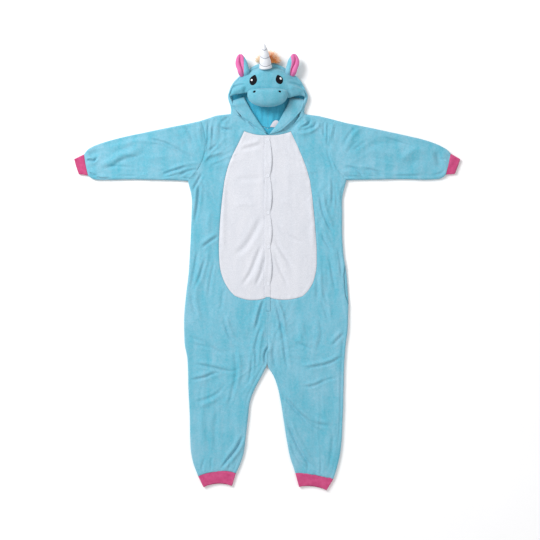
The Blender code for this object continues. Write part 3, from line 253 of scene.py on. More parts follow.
FRONT_FOLDS = make_folds(
    # wearer's right shoulder
    (3.4, -3.3, 0, -86, 461, -76, 450.5, -67, 443, -58, 437),
    (2.8, -3.6, 0, -55.5, 435, -43.5, 425, -31, 414),
    (3.5, -1.5, 0, -137, 433, -126, 441, -116, 449),
    (4, -1.4, 0, -137, 414, -121, 411.5, -107, 413.5),
    (6, 1.8, -1, -136, 427, -124, 420, -104, 412),
    (3.2, -1.6, 0, -175, 434, -176.5, 390, -178.5, 341),
    (3.6, 1.2, 0, -168, 430, -170, 385, -173, 346), (4.5, 1.9, 0, -205, 430, -200, 398, -192, 345),
    (3.0, -1.1, 0, -160, 426, -162, 395, -161, 376),
    (3.4, -1.4, 0, -176, 345, -160, 358, -148, 368),
    (4.5, 1.5, 0, -189, 312, -178, 328, -149, 340, -118, 345),
    (7, -1.0, 0, -182, 318, -160, 326, -128, 330), (7, 1.2, 1, -146, 438, -150, 415, -150, 388),
    # wearer's left shoulder
    (3.4, -3.6, 0, 110, 472, 98, 457, 86, 442, 72, 425), (9, -2.4, 0, 101, 443, 76, 420, 44, 399),
    (3.4, -2.2, 0, 116, 449, 127.5, 437, 123, 428, 111, 421, 96, 417),
    (5, 1.8, 0, 106, 440, 117, 434, 110, 427), (3.6, -1.8, 0, 129, 414, 143, 422, 147, 438),
    (5, -1.3, 0, 88, 408, 115, 410.5, 138, 418), (6, 1.7, 0, 86, 399, 115, 401, 146, 410),
    (5, 1.6, 0, 121, 405, 138, 409, 153, 420, 156, 436),
    (3.2, -1.1, 0, 170, 438, 171.5, 412, 172, 388), (3.2, -1.1, 0, 180, 432, 181, 395, 181, 362),
    (4.2, 1.2, 0, 175.5, 436, 176, 405, 176.5, 368),
    (3.2, -1.4, 0, 207, 438, 202, 411, 192, 372, 188, 342),
    (5, 1.4, 0, 197, 436, 193, 405, 184, 368),
    (3.4, -1.8, 0, 271, 423, 248, 399, 233, 375, 221, 350),
    (5, 1.5, 0, 281, 416, 258, 392, 242, 367), (3.2, -1.2, 0, 280, 382, 254, 361, 233, 338),
    (3.2, -1.0, 0, 304, 383, 275, 361, 238, 341),
    (3.4, -1.2, 0, 180, 374, 184, 337, 194.5, 304, 203, 272),
    (5, 1.3, 0, 189, 366, 192, 335, 203, 304),
    # under the arms
    (3.6, -2.2, 0, 232, 299, 266, 294, 290, 269), (3.6, -1.9, 0, 294, 295, 326, 286, 348, 271),
    (5, 1.7, 0, 220, 286, 252, 284, 278, 267), (5, 1.6, 0, 272, 301, 305, 298, 336, 283),
    (4, 1.3, 0, 298, 281, 318, 275, 332, 268), (3, -1.6, 0, 235, 277, 244, 271, 251, 266),
    (3.6, -2.0, 0, -319, 274, -289, 285, -262, 294, -238, 301),
    (3.4, -1.9, 0, -267, 269, -248, 282, -232, 288, -204, 291),
    (5, 1.6, 0, -302, 273, -270, 283, -243, 290),
    (4.5, 1.5, 0, -292, 292, -262, 302, -230, 309, -196, 313),
    (3, -1.6, 0, -249, 268, -240, 264, -234, 261),
    (3.4, -2.4, 0, -223, 227, -211, 250, -201, 268, -195, 283),
    (4.5, 1.5, 0, -230, 262, -222, 276, -206, 286),
    # wearer's right sleeve
    (4.5, -1.6, 0, -540, 320, -521, 318, -505, 331),
    (2.6, -2.6, 0, -541, 320, -529, 320, -519, 316, -508, 329),
    (9, -1.7, 0, -534, 341, -519, 339, -504, 348),
    (11, 2.3, -1, -510, 307, -469, 315, -440, 334, -387, 348, -364, 358),
    (3.2, -1.8, 0, -366, 384, -329, 378, -300, 368, -268, 352, -240, 334, -211, 324),
    (4.2, 1.4, 0, -340, 387, -288, 373, -248, 350, -203, 330),
    (3, -1.3, 0, -346, 373, -306, 360, -277, 346, -248, 328),
    (3.2, -1.4, 0, -279, 400, -257, 384, -235, 361),
    (3.6, -1.8, 0, -247, 422, -230, 398, -217, 370), (4.5, 1.4, 0, -260, 412, -243, 392, -227, 366),
    (12, -1.2, 0, -504, 366, -440, 380, -387, 390, -340, 388),
    (8, 1.6, 0, -432, 371, -370, 379, -325, 369), (2.8, -2.2, 0, -531, 284, -521, 276, -512, 271),
    (2.8, -1.6, 0, -514, 268, -490, 264, -470, 264), (4.5, 1.3, 0, -531, 294, -508, 276, -468, 270),
    (3.4, -1.0, 0, -482, 301, -440, 301, -396, 296), (9, -1.1, 0, -470, 340, -430, 352, -390, 368),
    (10, 1.1, 0, -370, 322, -330, 330, -290, 332),
    # wearer's left sleeve
    (10, 2.4, 0, 388, 306, 448, 352, 488, 342, 499, 298),
    (8, -1.8, 0, 509, 348, 515, 320, 518, 296), (3, -1.7, 0, 521, 327, 536, 319),
    (9, -1.3, 0, 296, 360, 360, 373, 424, 366), (9, 1.4, 0, 298, 346, 360, 341, 424, 322),
    (3.2, -1.0, 0, 342, 391, 400, 372, 444, 356), (3.2, -1.0, 0, 298, 331, 345, 322, 404, 301),
    (6, 1.2, -1, 370, 282, 420, 280, 472, 284), (9, -1.1, 0, 420, 300, 456, 318, 478, 304),
    (3.4, -1.1, 0, 534, 292, 520, 280, 496, 276),
    # beside the belly, wearer's right
    (3.8, -2.1, 0, -202, 256, -206, 200, -211.5, 157, -216, 126),
    (5, 1.7, 0, -212, 248, -215, 200, -221, 156),
    (3.4, -1.4, 0, -200, 264, -180, 228, -158, 196, -141, 168),
    (5, 1.4, 0, -190, 264, -170, 230, -148, 200), (3.8, -1.8, 0, -144, 93, -169, 77, -199, 54),
    (6, 1.6, 0, -146, 103, -172, 88, -202, 68), (4, -1.6, 0, -206, 56, -218, -14, -228, -74),
    (4, -1.5, 0, -178, 42, -203, -32, -223, -76), (3.6, -1.3, 0, -157, 24, -168, -34, -177, -102),
    (3.6, -1.3, 0, -129, -62, -134, -95, -139, -134), (6, 1.5, 0, -195, 34, -208, -40, -215, -114),
    (6, 1.3, 0, -170, 62, -188, 0, -197, -64), (3.4, -1.0, 0, -222, 144, -226, 90, -224, 36),
    (7, 1.2, 0, -168, 170, -176, 130, -170, 96),
    # beside the belly, wearer's left
    (3.8, -1.9, 0, 157, 228, 168, 164, 194, 108, 207, 89),
    (5, 1.6, 0, 167, 228, 178, 168, 203, 112), (3.4, -1.3, 0, 195, 272, 197, 225, 196, 182),
    (3.2, -1.2, 0, 203, 260, 206, 214, 209, 176), (4, 1.3, 0, 187, 268, 188, 225, 187, 186),
    (3.4, -1.5, 0, 231, 248, 224, 222, 222, 192), (3.6, -1.5, 0, 162, 100, 184, 62, 195, 46),
    (5, 1.2, 0, 170, 106, 192, 70, 206, 52), (4, -1.3, 0, 183, 42, 192, 0, 199, -36, 205, -84),
    (5, -1.3, 0, 149, -10, 151, -60, 151, -110), (6, 1.4, 0, 160, -8, 162, -56, 164, -104),
    (4, -1.4, 0, 169, -64, 176, -100, 185, -144), (6, 1.3, 0, 196, 62, 206, 10, 214, -42),
    (3.4, -1.2, 0, 212, 62, 220, 10, 224, -32),
    # white belly
    (8, -1.9, 0, -12, 157, -40, 100, -68, 58, -106, 30),
    (5.5, -2.1, 0, -11, 76, -31, 26, -52, -23, -80, -63), (4, -1.9, 0, -5, 30, -15, -13, -36, -63),
    (4.5, 1.5, 0, -12, 42, -24, 0, -45, -53), (5, -1.5, 0, 26, 126, 57, 97, 110, 70),
    (5, -1.7, 0, 19, 90, 47, 44, 82, -7), (4.5, -1.6, 0, 21, 44, 40, -6, 67, -63),
    (6, 1.2, 0, 22, 68, 46, 20, 77, -36), (6, -1.4, 0, -84, 348, -49, 358, -11, 368),
    (7, 1.2, 0, -80, 361, -46, 371, -12, 381), (7, -0.8, 0, -96, 261, -50, 264, -8, 265),
    (7, 1.1, -1, -124, 210, -130, 120, -130, 30), (7, 1.0, 1, 126, 220, 136, 130, 136, 40),
    (8, 0.9, 1, 20, 360, 46, 350, 70, 330), (10, 1.0, 0, -100, 180, -70, 190, -30, 184),
    (10, 0.9, 0, 36, 200, 70, 190, 100, 170),
    # seat and crotch
    (3.9, -1.8, 0, -6, -90, -22, -140, -35, -193),
    (4.5, -2.2, 0, 18, -92, 32, -126, 44, -180, 54, -250, 63, -320),
    (6, 2.0, 0, 28, -96, 42, -128, 56, -190), (6, 1.8, 0, -16, -90, -32, -136, -45, -190),
    (4.2, -2.1, 0, -13, -172, -27, -203, -34, -240, -32, -302),
    (3.6, -1.6, 0, -36, -210, -43, -270, -49, -320, -55, -356),
    (5, 1.8, 0, -21, -174, -38, -236, -42, -304), (4.5, 1.5, 0, -8, -178, -20, -230, -24, -292),
    (3.0, -3.2, 0, 7, -234, -3, -250, -7, -264, -4, -297),
    (6, -2.0, 0, 16, -232, 21, -270, 28, -304), (5, 1.6, 0, 4, -203, 12, -230, 12, -264),
    # leg, wearer's right
    (4, -1.5, 0, -228, -72, -217, -133, -207, -156), (5, 1.4, 0, -216, -78, -206, -130, -195, -162),
    (3.8, -1.6, 0, -134, -144, -121, -185, -108, -214, -88, -234),
    (5.5, 1.5, 0, -122, -144, -110, -184, -95, -213),
    (4, -1.1, 0, -238, -205, -182, -229, -130, -264),
    (4, -1.0, 0, -222, -231, -170, -242, -126, -268),
    (3.4, -1.6, 0, -223, -289, -160, -302, -116, -312, -84, -310),
    (5.5, 1.5, 0, -216, -279, -160, -291, -110, -302),
    (3.4, -1.7, 0, -232, -339, -188, -331, -160, -319, -134, -316),
    (5, 1.6, 0, -228, -328, -188, -320, -156, -309),
    (4.5, -1.2, 0, -223, -405, -180, -395, -144, -375, -125, -352),
    (6, 1.2, 0, -210, -420, -176, -408, -142, -390),
    (5, -1.1, 0, -100, -228, -92, -310, -104, -375, -122, -436),
    (6, 1.1, 0, -88, -238, -80, -310, -91, -374),
    (3.4, -2.4, 0, -69, -500, -88, -539, -122, -583, -143, -611),
    (5, 2.0, 0, -60, -502, -79, -544, -112, -588, -131, -612),
    (5, 1.4, 0, -79, -495, -99, -535, -134, -580), (8, 1.2, 0, -190, -400, -196, -470, -184, -560),
    (7, -1.2, 0, -150, -430, -156, -490, -150, -560),
    (3.5, -0.9, 0, -197, -614, -192, -592, -185, -566),
    (3.5, -0.9, 0, -168, -612, -166, -592, -168, -568),
    (3.5, -0.8, 0, -112, -608, -112, -592, -107, -574),
    # leg, wearer's left
    (3.4, -1.3, 0, 83, -224, 110, -238, 138, -248), (5, 1.2, 0, 84, -213, 112, -226, 142, -237),
    (3.6, -1.8, 0, 112, -303, 146, -298, 184, -289, 231, -264),
    (5.5, 1.8, 0, 98, -296, 145, -288, 184, -279, 226, -255),
    (4, -1.5, 0, 192, -240, 218, -211, 233, -196), (5.5, 1.4, 0, 188, -229, 212, -202, 228, -189),
    (3.6, -1.2, 0, 104, -360, 142, -355, 166, -343, 219, -329),
    (5.5, 1.4, 0, 108, -350, 146, -344, 174, -331),
    (4.2, -2.0, 0, 43, -376, 81, -423, 122, -467, 171, -499),
    (6, 1.8, 0, 51, -370, 90, -414, 130, -456, 174, -488),
    (4.5, -1.3, 0, 87, -429, 142, -468, 198, -478), (6, 1.2, 0, 100, -424, 148, -457, 200, -466),
    (4.2, -2.0, 0, 56, -452, 81, -512, 114, -573, 148, -613),
    (6, 1.7, 0, 66, -448, 92, -506, 124, -564, 155, -606),
    (3.8, -1.4, 0, 68, -524, 93, -577, 123, -612), (5, -1.1, 0, 200, -496, 196, -540, 192, -572),
    (3.6, -1.4, 0, 160, -88, 173, -129, 188, -166), (5, 1.3, 0, 171, -86, 183, -126, 197, -160),
    (3.2, -1.1, 0, 234, -165, 226, -250, 222, -350, 221, -440, 213, -555),
    (3.5, -0.9, 0, 186, -604, 188, -584, 192, -560),
    (3.5, -0.9, 0, 120, -616, 122, -594, 118, -572),
    (3.5, -0.9, 0, 160, -622, 162, -598, 160, -572), (8, 1.2, 1, 146, -150, 152, -200, 140, -250),
    (8, 1.2, 0, 96, -150, 104, -190, 96, -226),
)
# The back lies on the floor: its folds are shallow hollows under it.
BACK_FOLDS = make_folds(
    (12, 2.4, 0, -190, 420, -150, 380, -120, 340), (12, 2.2, 0, 180, 420, 150, 376, 116, 350),
    (12, 1.8, 0, -60, 330, 0, 300, 70, 322), (10, 2.2, 0, -200, 220, -150, 190, -90, 196),
    (10, 2.4, 0, 205, 236, 150, 210, 110, 160), (12, 2.0, 0, -120, 80, -60, 50, 10, 60),
    (12, 1.8, 0, 60, 110, 90, 40, 80, -40), (12, 2.2, 0, -190, -20, -150, -70, -130, -130),
    (12, 2.2, 0, 190, 10, 150, -50, 130, -120), (10, 2.4, 0, -30, -60, -50, -130, -80, -190),
    (10, 2.4, 0, 36, -70, 60, -140, 90, -200), (9, 2.6, 0, -10, -170, -40, -240, -60, -320),
    (9, 2.6, 0, 14, -170, 40, -240, 60, -310), (10, 2.4, 0, -215, -300, -160, -320, -100, -310),
    (10, 2.4, 0, 210, -280, 160, -306, 110, -300), (10, 1.8, 0, -200, -360, -150, -380, -90, -370),
    (10, 1.8, 0, 200, -350, 150, -376, 100, -372), (10, 2.6, 0, -90, -450, -120, -520, -150, -590),
    (10, 2.6, 0, 80, -450, 116, -520, 140, -600), (11, 2.0, 0, -190, -450, -200, -520, -190, -590),
    (11, 2.0, 0, 190, -440, 200, -510, 184, -590), (11, 2.0, 0, -300, 300, -350, 330, -420, 336),
    (11, 1.8, 0, -270, 390, -320, 380, -380, 372), (9, 2.0, 0, -470, 330, -500, 318, -530, 312),
    (11, 2.0, 0, 300, 300, 350, 328, 420, 330), (11, 1.8, 0, 270, 392, 330, 378, 390, 372),
    (9, 2.0, 0, 470, 328, 500, 316, 530, 312), (9, 1.8, 0, -262, 290, -250, 330, -240, 370),
    (9, 1.8, 0, 262, 290, 252, 330, 244, 370),
)


def folded(x, y, folds):
    """Sum of the folds at each point."""
    total = np.zeros(np.shape(x))
    for fold in folds:
        line, reach = fold.line, 4.0 * fold.width
        low, high = line.min(0) - reach, line.max(0) + reach
        near = (x > low[0]) & (x < high[0]) & (y > low[1]) & (y < high[1])
        if not near.any():
            continue
        distance, share, sign = side_of_line(line, x[near], y[near])
        side = distance * sign
        ends = ease(share / 0.24) * ease((1.0 - share) / 0.28)
        ends = np.where((share <= 0.0) | (share >= 1.0), 0.0, ends)
        shape = hump(side, fold.width)
        if fold.lean:
            shape = shape - 0.6 * hump(side - fold.lean * 1.35 * fold.width, 0.55 * fold.width)
        elif fold.height < 0:
            shape = shape - 0.35 * hump(distance - 2.0 * fold.width, fold.width)
        total[near] += fold.height * ends * shape
    return total


def undulation(x, y, seed=3):
    """The uneven lie of soft cloth, without any named fold."""
    return (0.95 * ripple(x, y * 0.7, 64.0, seed) + 0.62 * ripple(x, y * 0.75, 27.0, seed + 1)
            + 0.26 * ripple(x, y, 11.0, seed + 2))


# Where fine creases run together: the armpits and the crotch.  cut is the heading, in degrees, of
# the empty side between two limbs.
Gather = namedtuple("Gather", "x y cut reach height")
GATHERS = (Gather(-212, 286, -135, 210, 1.7), Gather(212, 288, -45, 210, 1.7),
           Gather(0, -262, -90, 190, 1.5))


def fine_creases(x, y, seed=61):
    """Long narrow creases: out of the gathers, down the body and along the sleeves."""
    patchy = 0.55 + 0.45 * ripple(x, y, 70.0, seed)
    sleeve = ease((np.abs(x) - 205.0) / 60.0) * ease((y - 235.0) / 30.0)
    drift = 7.0 * ripple(x, y, 55.0, seed + 1)
    down = ripple(x + drift, y * 0.15, 15.0, seed + 2)
    along = ripple(y + 0.21 * np.abs(x) + drift, x * 0.15, 15.0, seed + 3)
    total = 1.3 * patchy * (mix(hump(down, 0.4), hump(along, 0.4), sleeve) - 0.35)
    for gather in GATHERS:
        dx, dy = x - gather.x, y - gather.y
        radius = np.hypot(dx, dy)
        turned = np.arctan2(dy, dx) - math.radians(gather.cut) - math.pi
        heading = np.arctan2(np.sin(turned), np.cos(turned))
        wide = ripple(heading * 130.0 + 0.5 * drift, radius * 0.2, 19.0, seed + 4)
        close = ripple(heading * 130.0, radius * 0.25, 11.0, seed + 5)
        fade = np.exp(-(radius / gather.reach) ** 2) * ease((radius - 12.0) / 60.0)
        total += gather.height * fade * (hump(wide, 0.35) + 0.5 * hump(close, 0.45) - 0.5)
    return total


def front_height(x, y):
    height = FOLD_STRENGTH * folded(x, y, FRONT_FOLDS) + undulation(x, y) + fine_creases(x, y)
    return np.maximum(5.6, FLAT_TOP + 0.4 + height)


def back_lift(x, y):
    return np.maximum(0.0, folded(x, y, BACK_FOLDS) + 0.5 * undulation(x, y, 40) - 0.35)


# ---------------------------------------------------------------- meshes
def add_piece(name, points, faces, material, nodes, smooth=True):
    """A mesh from points in drawing millimetres.  It rides on the one body and replaces nodes."""
    mesh = bpy.data.meshes.new(name)
    points = np.array(points, float)
    points[:, 2] = np.maximum(points[:, 2], FLOOR_GAP)
    mesh.from_pydata(((points + ORIGIN_SHIFT) * MM).tolist(), [], faces)
    data = bmesh.new()
    data.from_mesh(mesh)
    bmesh.ops.recalc_face_normals(data, faces=data.faces)
    data.to_mesh(mesh)
    data.free()
    if smooth:
        mesh.shade_smooth()
    mesh.materials.append(material)
    piece = bpy.data.objects.new(name, mesh)
    bpy.context.scene.collection.objects.link(piece)
    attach(piece, "root")
    if nodes:
        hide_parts(*nodes)
    return piece


def grid_normals(grid, up_at=None):
    """Unit normals of a grid; up_at is a column where the middle row's must point up."""
    normal = np.cross(np.gradient(grid, axis=0), np.gradient(grid, axis=1))
    normal /= np.maximum(np.linalg.norm(normal, axis=2, keepdims=True), 1e-9)
    if up_at is not None and normal[len(grid) // 2, up_at, 2] < 0:
        normal = -normal
    return normal


def ring_quads(start, rings, sides):
    """Quads between rings of points that follow one another from start on."""
    quads = []
    for first in range(start, start + (rings - 1) * sides, sides):
        for k in range(sides):
            a, b = first + k, first + (k + 1) % sides
            quads.append([a, b, b + sides, a + sides])
    return quads


def rod_faces(start, rings, sides):
    """Faces of a rod of rings with flat ends."""
    end = start + (rings - 1) * sides
    return ring_quads(start, rings, sides) + [
        list(range(start, start + sides))[::-1], list(range(end, end + sides))]


def turned_faces(rings, sides):
    """Faces of a form of rings between a first and a last point on its axis."""
    faces = [[0, 1 + (k + 1) % sides, 1 + k] for k in range(sides)] + ring_quads(1, rings, sides)
    start, last = 1 + (rings - 1) * sides, 1 + rings * sides
    return faces + [[start + k, start + (k + 1) % sides, last] for k in range(sides)]


def shell_mesh(outer, inner, ring=False, keep=None, rim=0.35):
    """Points and faces of a closed wall, and the faces on one side.  Its rims are drawn in."""
    rows, columns = outer.shape[:2]
    index = np.arange(rows * columns).reshape(rows, columns)
    if ring:
        index = np.hstack([index, index[:, :1]])
    quads = np.stack([index[:-1, :-1], index[:-1, 1:], index[1:, 1:], index[1:, :-1]], axis=-1)
    quads = quads[keep] if keep is not None else quads.reshape(-1, 4)
    used, quads = np.unique(quads, return_inverse=True)
    quads = quads.reshape(-1, 4)
    top = outer.reshape(-1, 3)[used].copy()
    low = inner.reshape(-1, 3)[used].copy()
    count = len(used)
    sides = set()
    for k in range(4):
        sides.update(zip(quads[:, k].tolist(), quads[:, (k + 1) % 4].tolist()))
    open_sides = [(i, j) for i, j in sides if (j, i) not in sides]
    open_sides.sort()
    rim_points = sorted({i for side in open_sides for i in side})
    place = {i: 2 * count + k for k, i in enumerate(rim_points)}
    middle = (top[rim_points] + low[rim_points]) / 2
    corners = top[quads]
    face_normal = np.cross(corners[:, 2] - corners[:, 0], corners[:, 3] - corners[:, 1])
    normal = np.zeros((count, 3))
    for k in range(4):
        np.add.at(normal, quads[:, k], face_normal)
    inward = np.zeros((count, 3))
    for i, j in open_sides:
        direction = top[j] - top[i]
        step = np.cross(normal[i] + normal[j], direction)
        step /= max(np.linalg.norm(step), 1e-9)
        inward[i] += step
        inward[j] += step
    inward /= np.maximum(np.linalg.norm(inward, axis=1, keepdims=True), 1e-9)
    top += inward * rim
    low += inward * rim
    faces = quads.tolist() + (quads[:, ::-1] + count).tolist()
    for i, j in open_sides:
        faces.append([j, i, place[i], place[j]])
        faces.append([place[j], place[i], i + count, j + count])
    return np.concatenate([top, low, middle]), faces, len(quads)


def shell(name, outer, inner, material, nodes, ring=False, keep=None, rim=0.35, lining=None):
    """A closed wall as a piece; lining is the material of its inner side, a darker fleece as
    painted shade.
    """
    points, faces, count = shell_mesh(outer, inner, ring, keep, rim)
    piece = add_piece(name, points, faces, material, nodes)
    if lining:
        piece.data.materials.append(lining)
        for polygon in piece.data.polygons[count:2 * count]:
            polygon.material_index = 1
    return piece


# ---------------------------------------------------------------- materials
def linear(red, green, blue):
    """Display colour, 0 to 255, to Blender's linear colour."""
    return tuple(((c / 255 + 0.055) / 1.055) ** 2.4 for c in (red, green, blue)) + (1.0,)


class Paint:
    """A material's node tree with short calls for the nodes that the cloths share."""

    def __init__(self, name, roughness, sheen=0.0, specular=0.3):
        self.material = bpy.data.materials.new(name)
        self.material.use_nodes = True
        self.tree = self.material.node_tree
        self.shader = self.tree.nodes["Principled BSDF"]
        self.fill(self.shader, {"Roughness": roughness, "Specular IOR Level": specular,
                                "Sheen Weight": sheen, "Sheen Roughness": 0.45})
        self.place = self.node("TexCoord").outputs["Object"]

    def node(self, kind):
        return self.tree.nodes.new("ShaderNode" + kind)

    def fill(self, node, sockets):
        """Link or set sockets of a node, and give the node's results."""
        for name, value in sockets.items():
            if isinstance(value, bpy.types.NodeSocket):
                self.tree.links.new(value, node.inputs[name])
            else:
                node.inputs[name].default_value = value
        return node.outputs

    def stretched(self, x, y, z):
        return self.fill(self.node("Mapping"), {"Vector": self.place, "Scale": (x, y, z)})[0]

    def noise(self, size, detail=3.0, place=None):
        """Noise whose bumps are about size millimetres wide."""
        sockets = {"Vector": place or self.place, "Scale": 1000.0 / size, "Detail": detail,
                   "Roughness": 0.55}
        return self.fill(self.node("TexNoise"), sockets)["Fac"]

    def wave(self, size, place=None, direction="X", distortion=0.0):
        node = self.node("TexWave")
        node.bands_direction = direction
        sockets = {"Vector": place or self.place, "Scale": 1000.0 / size / 20.0 * math.pi,
                   "Distortion": distortion}
        return self.fill(node, sockets)["Fac"]

    def sums(self, operation, a, b):
        node = self.node("Math")
        node.operation = operation
        return self.fill(node, {0: a, 1: b})[0]

    def blend(self, share, low, high, way="MIX"):
        node = self.node("Mix")
        node.data_type = "RGBA"
        node.blend_type = way
        return self.fill(node, {"Factor": share, "A": low, "B": high})["Result"]

    def weigh(self, *parts):
        """The sum of parts, each a value with its weight."""
        total = None
        for value, weight in parts:
            term = self.sums("MULTIPLY", value, weight)
            total = term if total is None else self.sums("ADD", total, term)
        return total

    def spread_out(self, value, low, high):
        sockets = {"Value": value, "From Min": low, "From Max": high}
        return self.fill(self.node("MapRange"), sockets)["Result"]

    def colour(self, value):
        self.fill(self.shader, {"Base Color": value})

    def bump(self, height, depth):
        """depth is how many millimetres the height's 0 to 1 stands for."""
        sockets = {"Distance": depth * MM, "Strength": 1.0, "Height": height}
        normal = self.fill(self.node("Bump"), sockets)["Normal"]
        self.fill(self.shader, {"Normal": normal})


def fleece(name, dark, middle, light, pile=1.0, sheen=0.35):
    """Short brushed pile: mottled where the nap lies differently, with soft tufts."""
    paint = Paint(name, 0.95, sheen, 0.15)
    streak = paint.noise(26.0, 3.0, paint.stretched(1.0, 0.28, 1.0))
    patch = paint.noise(58.0, 4.0)
    tuft = paint.noise(6.0, 3.0)
    nap = paint.noise(1.7, 2.0)
    lie = paint.weigh((streak, 0.46), (patch, 0.22), (tuft, 0.32))
    tone = paint.spread_out(lie, 0.36, 0.64)
    body = paint.blend(tone, dark, light)
    body = paint.blend(0.45, body, middle)
    speck = paint.spread_out(paint.weigh((nap, 0.6), (paint.noise(3.2), 0.4)), 0.3, 0.72)
    shade = paint.blend(speck, (0.84, 0.84, 0.85, 1.0), (1.08, 1.08, 1.08, 1.0))
    paint.colour(paint.blend(1.0, body, shade, "MULTIPLY"))
    height = paint.weigh((nap, 0.5), (paint.noise(3.4, 2.0), 0.3), (tuft, 0.2))
    paint.bump(height, 0.9 * pile)
    return paint.material


def rib_knit(name, dark, light):
    """Knit loops between the modelled ribs."""
    paint = Paint(name, 0.85, 0.25, 0.2)
    loops = paint.wave(1.5, direction="Y", distortion=2.0)
    fuzz = paint.noise(0.9, 2.0)
    lie = paint.weigh((paint.noise(14.0), 0.5), (fuzz, 0.3), (loops, 0.2))
    paint.colour(paint.blend(paint.spread_out(lie, 0.3, 0.7), dark, light))
    paint.bump(paint.weigh((loops, 0.5), (fuzz, 0.5)), 0.35)
    return paint.material


def satin_stitch(name, dark, light, size=0.7, roughness=0.38, sheen=0.1, specular=0.5):
    """Threads laid side by side."""
    paint = Paint(name, roughness, sheen, specular)
    turned = paint.stretched(1.0, 0.25, 1.0)
    threads = paint.wave(size, turned, "X", 1.2)
    paint.colour(paint.blend(paint.weigh((threads, 0.6), (paint.noise(3.0), 0.4)), dark, light))
    paint.bump(threads, 0.25)
    return paint.material


def horn_cloth(name):
    """Smooth white cloth with a fine weave and a little shine."""
    paint = Paint(name, 0.42, 0.2, 0.5)
    weave = paint.sums("MULTIPLY", paint.wave(0.8, direction="X"), paint.wave(0.8, direction="Y"))
    tone = paint.spread_out(paint.weigh((paint.noise(9.0), 0.7), (weave, 0.3)), 0.25, 0.75)
    paint.colour(paint.blend(tone, linear(208, 211, 218), linear(229, 231, 236)))
    paint.bump(paint.weigh((weave, 0.3), (paint.noise(4.0), 0.7)), 0.3)
    return paint.material


def strand_paint(name, dark, light):
    """Long pile: each strand differs a little along its length."""
    paint = Paint(name, 0.7, 0.3, 0.25)
    tone = paint.spread_out(paint.weigh((paint.noise(5.0), 0.6), (paint.noise(1.2), 0.4)), 0.3, 0.7)
    paint.colour(paint.blend(tone, dark, light))
    return paint.material


def thread_paint(name, dark, light):
    paint = Paint(name, 0.5, 0.1, 0.4)
    twist = paint.wave(0.8, direction="DIAGONAL")
    paint.colour(paint.blend(twist, dark, light))
    return paint.material


def label_tape(name):
    paint = Paint(name, 0.55, 0.1, 0.3)
    weave = paint.sums("MULTIPLY", paint.wave(0.6, direction="X"), paint.wave(0.6, direction="Y"))
    tone = paint.weigh((weave, 0.5), (paint.noise(7.0), 0.5))
    paint.colour(paint.blend(tone, linear(206, 203, 212), linear(232, 229, 236)))
    paint.bump(weave, 0.12)
    return paint.material


def snap_plastic(name):
    paint = Paint(name, 0.55, 0.0, 0.3)
    tone = paint.weigh((paint.noise(2.5), 0.6), (paint.noise(0.5), 0.4))
    paint.colour(paint.blend(tone, linear(206, 209, 218), linear(216, 219, 226)))
    paint.bump(paint.noise(0.8), 0.05)
    return paint.material


BLUE = fleece("blue_fleece", linear(76, 170, 192), linear(111, 183, 203), linear(153, 193, 212))
BLUE_FACE = fleece("blue_fleece_face", linear(72, 164, 184), linear(100, 175, 194),
                   linear(136, 184, 204))
# A darker, more saturated copy of the blue fleece for insides that lie in shadow: painted shade.
BLUE_SHADED_INSIDE = fleece("blue_fleece_shaded_inside", linear(44, 153, 184), linear(63, 172, 202),
                     linear(90, 189, 219), 0.8)
WHITE = fleece("white_fleece", linear(203, 206, 214), linear(210, 213, 220),
               linear(219, 219, 225), 0.5, 0.1)
EAR_PINK = fleece("pink_fleece", linear(208, 96, 156), linear(216, 110, 165),
                  linear(224, 130, 182), 0.6, 0.15)
RIB = rib_knit("pink_rib", linear(181, 54, 107), linear(210, 95, 143))
EYE = satin_stitch("black_stitches", (0.002, 0.002, 0.004, 1), (0.010, 0.009, 0.014, 1),
                   0.7, 0.6, sheen=0.0, specular=0.08)
GLINT = satin_stitch("white_stitches", linear(232, 234, 240), linear(250, 250, 252), 0.6, 0.5)
HORN = horn_cloth("horn_cloth")
HORN_THREAD = thread_paint("grey_thread", linear(58, 70, 84), linear(104, 116, 130))
ORANGE = strand_paint("orange_pile", linear(255, 140, 60), linear(255, 192, 116))
ORANGE_TIPS = strand_paint("orange_tips", linear(255, 206, 160), linear(255, 240, 222))
CREAM = strand_paint("cream_pile", linear(228, 194, 150), linear(255, 240, 220))
LABEL = label_tape("label_tape")
SNAP = snap_plastic("snap_plastic")
BLUE_THREAD = thread_paint("blue_thread", linear(84, 164, 194), linear(120, 196, 218))
WHITE_THREAD = thread_paint("white_thread", linear(214, 217, 228), linear(236, 238, 245))


# ---------------------------------------------------------------- body panels
NEAR_FREE = (0.4, 1.2, 2.6, 4.6, 8.0)       # close columns and rows beside a free edge
NEAR_SEAM = (1.4, 3.4)
LIP = 1.0                                   # thickness of a panel's free edge
PLACKET_TOP, PLACKET_BOTTOM, PLACKET_END = 392.0, -90.0, -132.0


def section_points(section, share):
    """Plan points of a section line that bulges sideways between its ends."""
    ax, ay, bx, by, bulge = section
    line = np.array((bx - ax, by - ay))
    normal = np.array((-line[1], line[0])) / np.hypot(*line)
    out = bulge * bow(share)
    return ax + line[0] * share + normal[0] * out, ay + line[1] * share + normal[1] * out


def body_table(top_rows, low_rows, armhole):
    table = []
    for share, row in zip(ARMHOLE_STEPS, top_rows):
        side_x, side_y = section_points(armhole, share)
        table.append(LowRow(*row[:4], side_x, side_y, row.sag))
    table = np.array(table + low_rows, float)
    length = sum(chord(table[:, k:k + 2]) for k in (0, 2, 4)) / 3.0
    return table, length


INNER_WIDTH, OUTER_WIDTH = 147, 100         # widest row, from centre to panel and on to the side
FULL_WIDTH = 30.0                           # a narrower row draws its close columns together


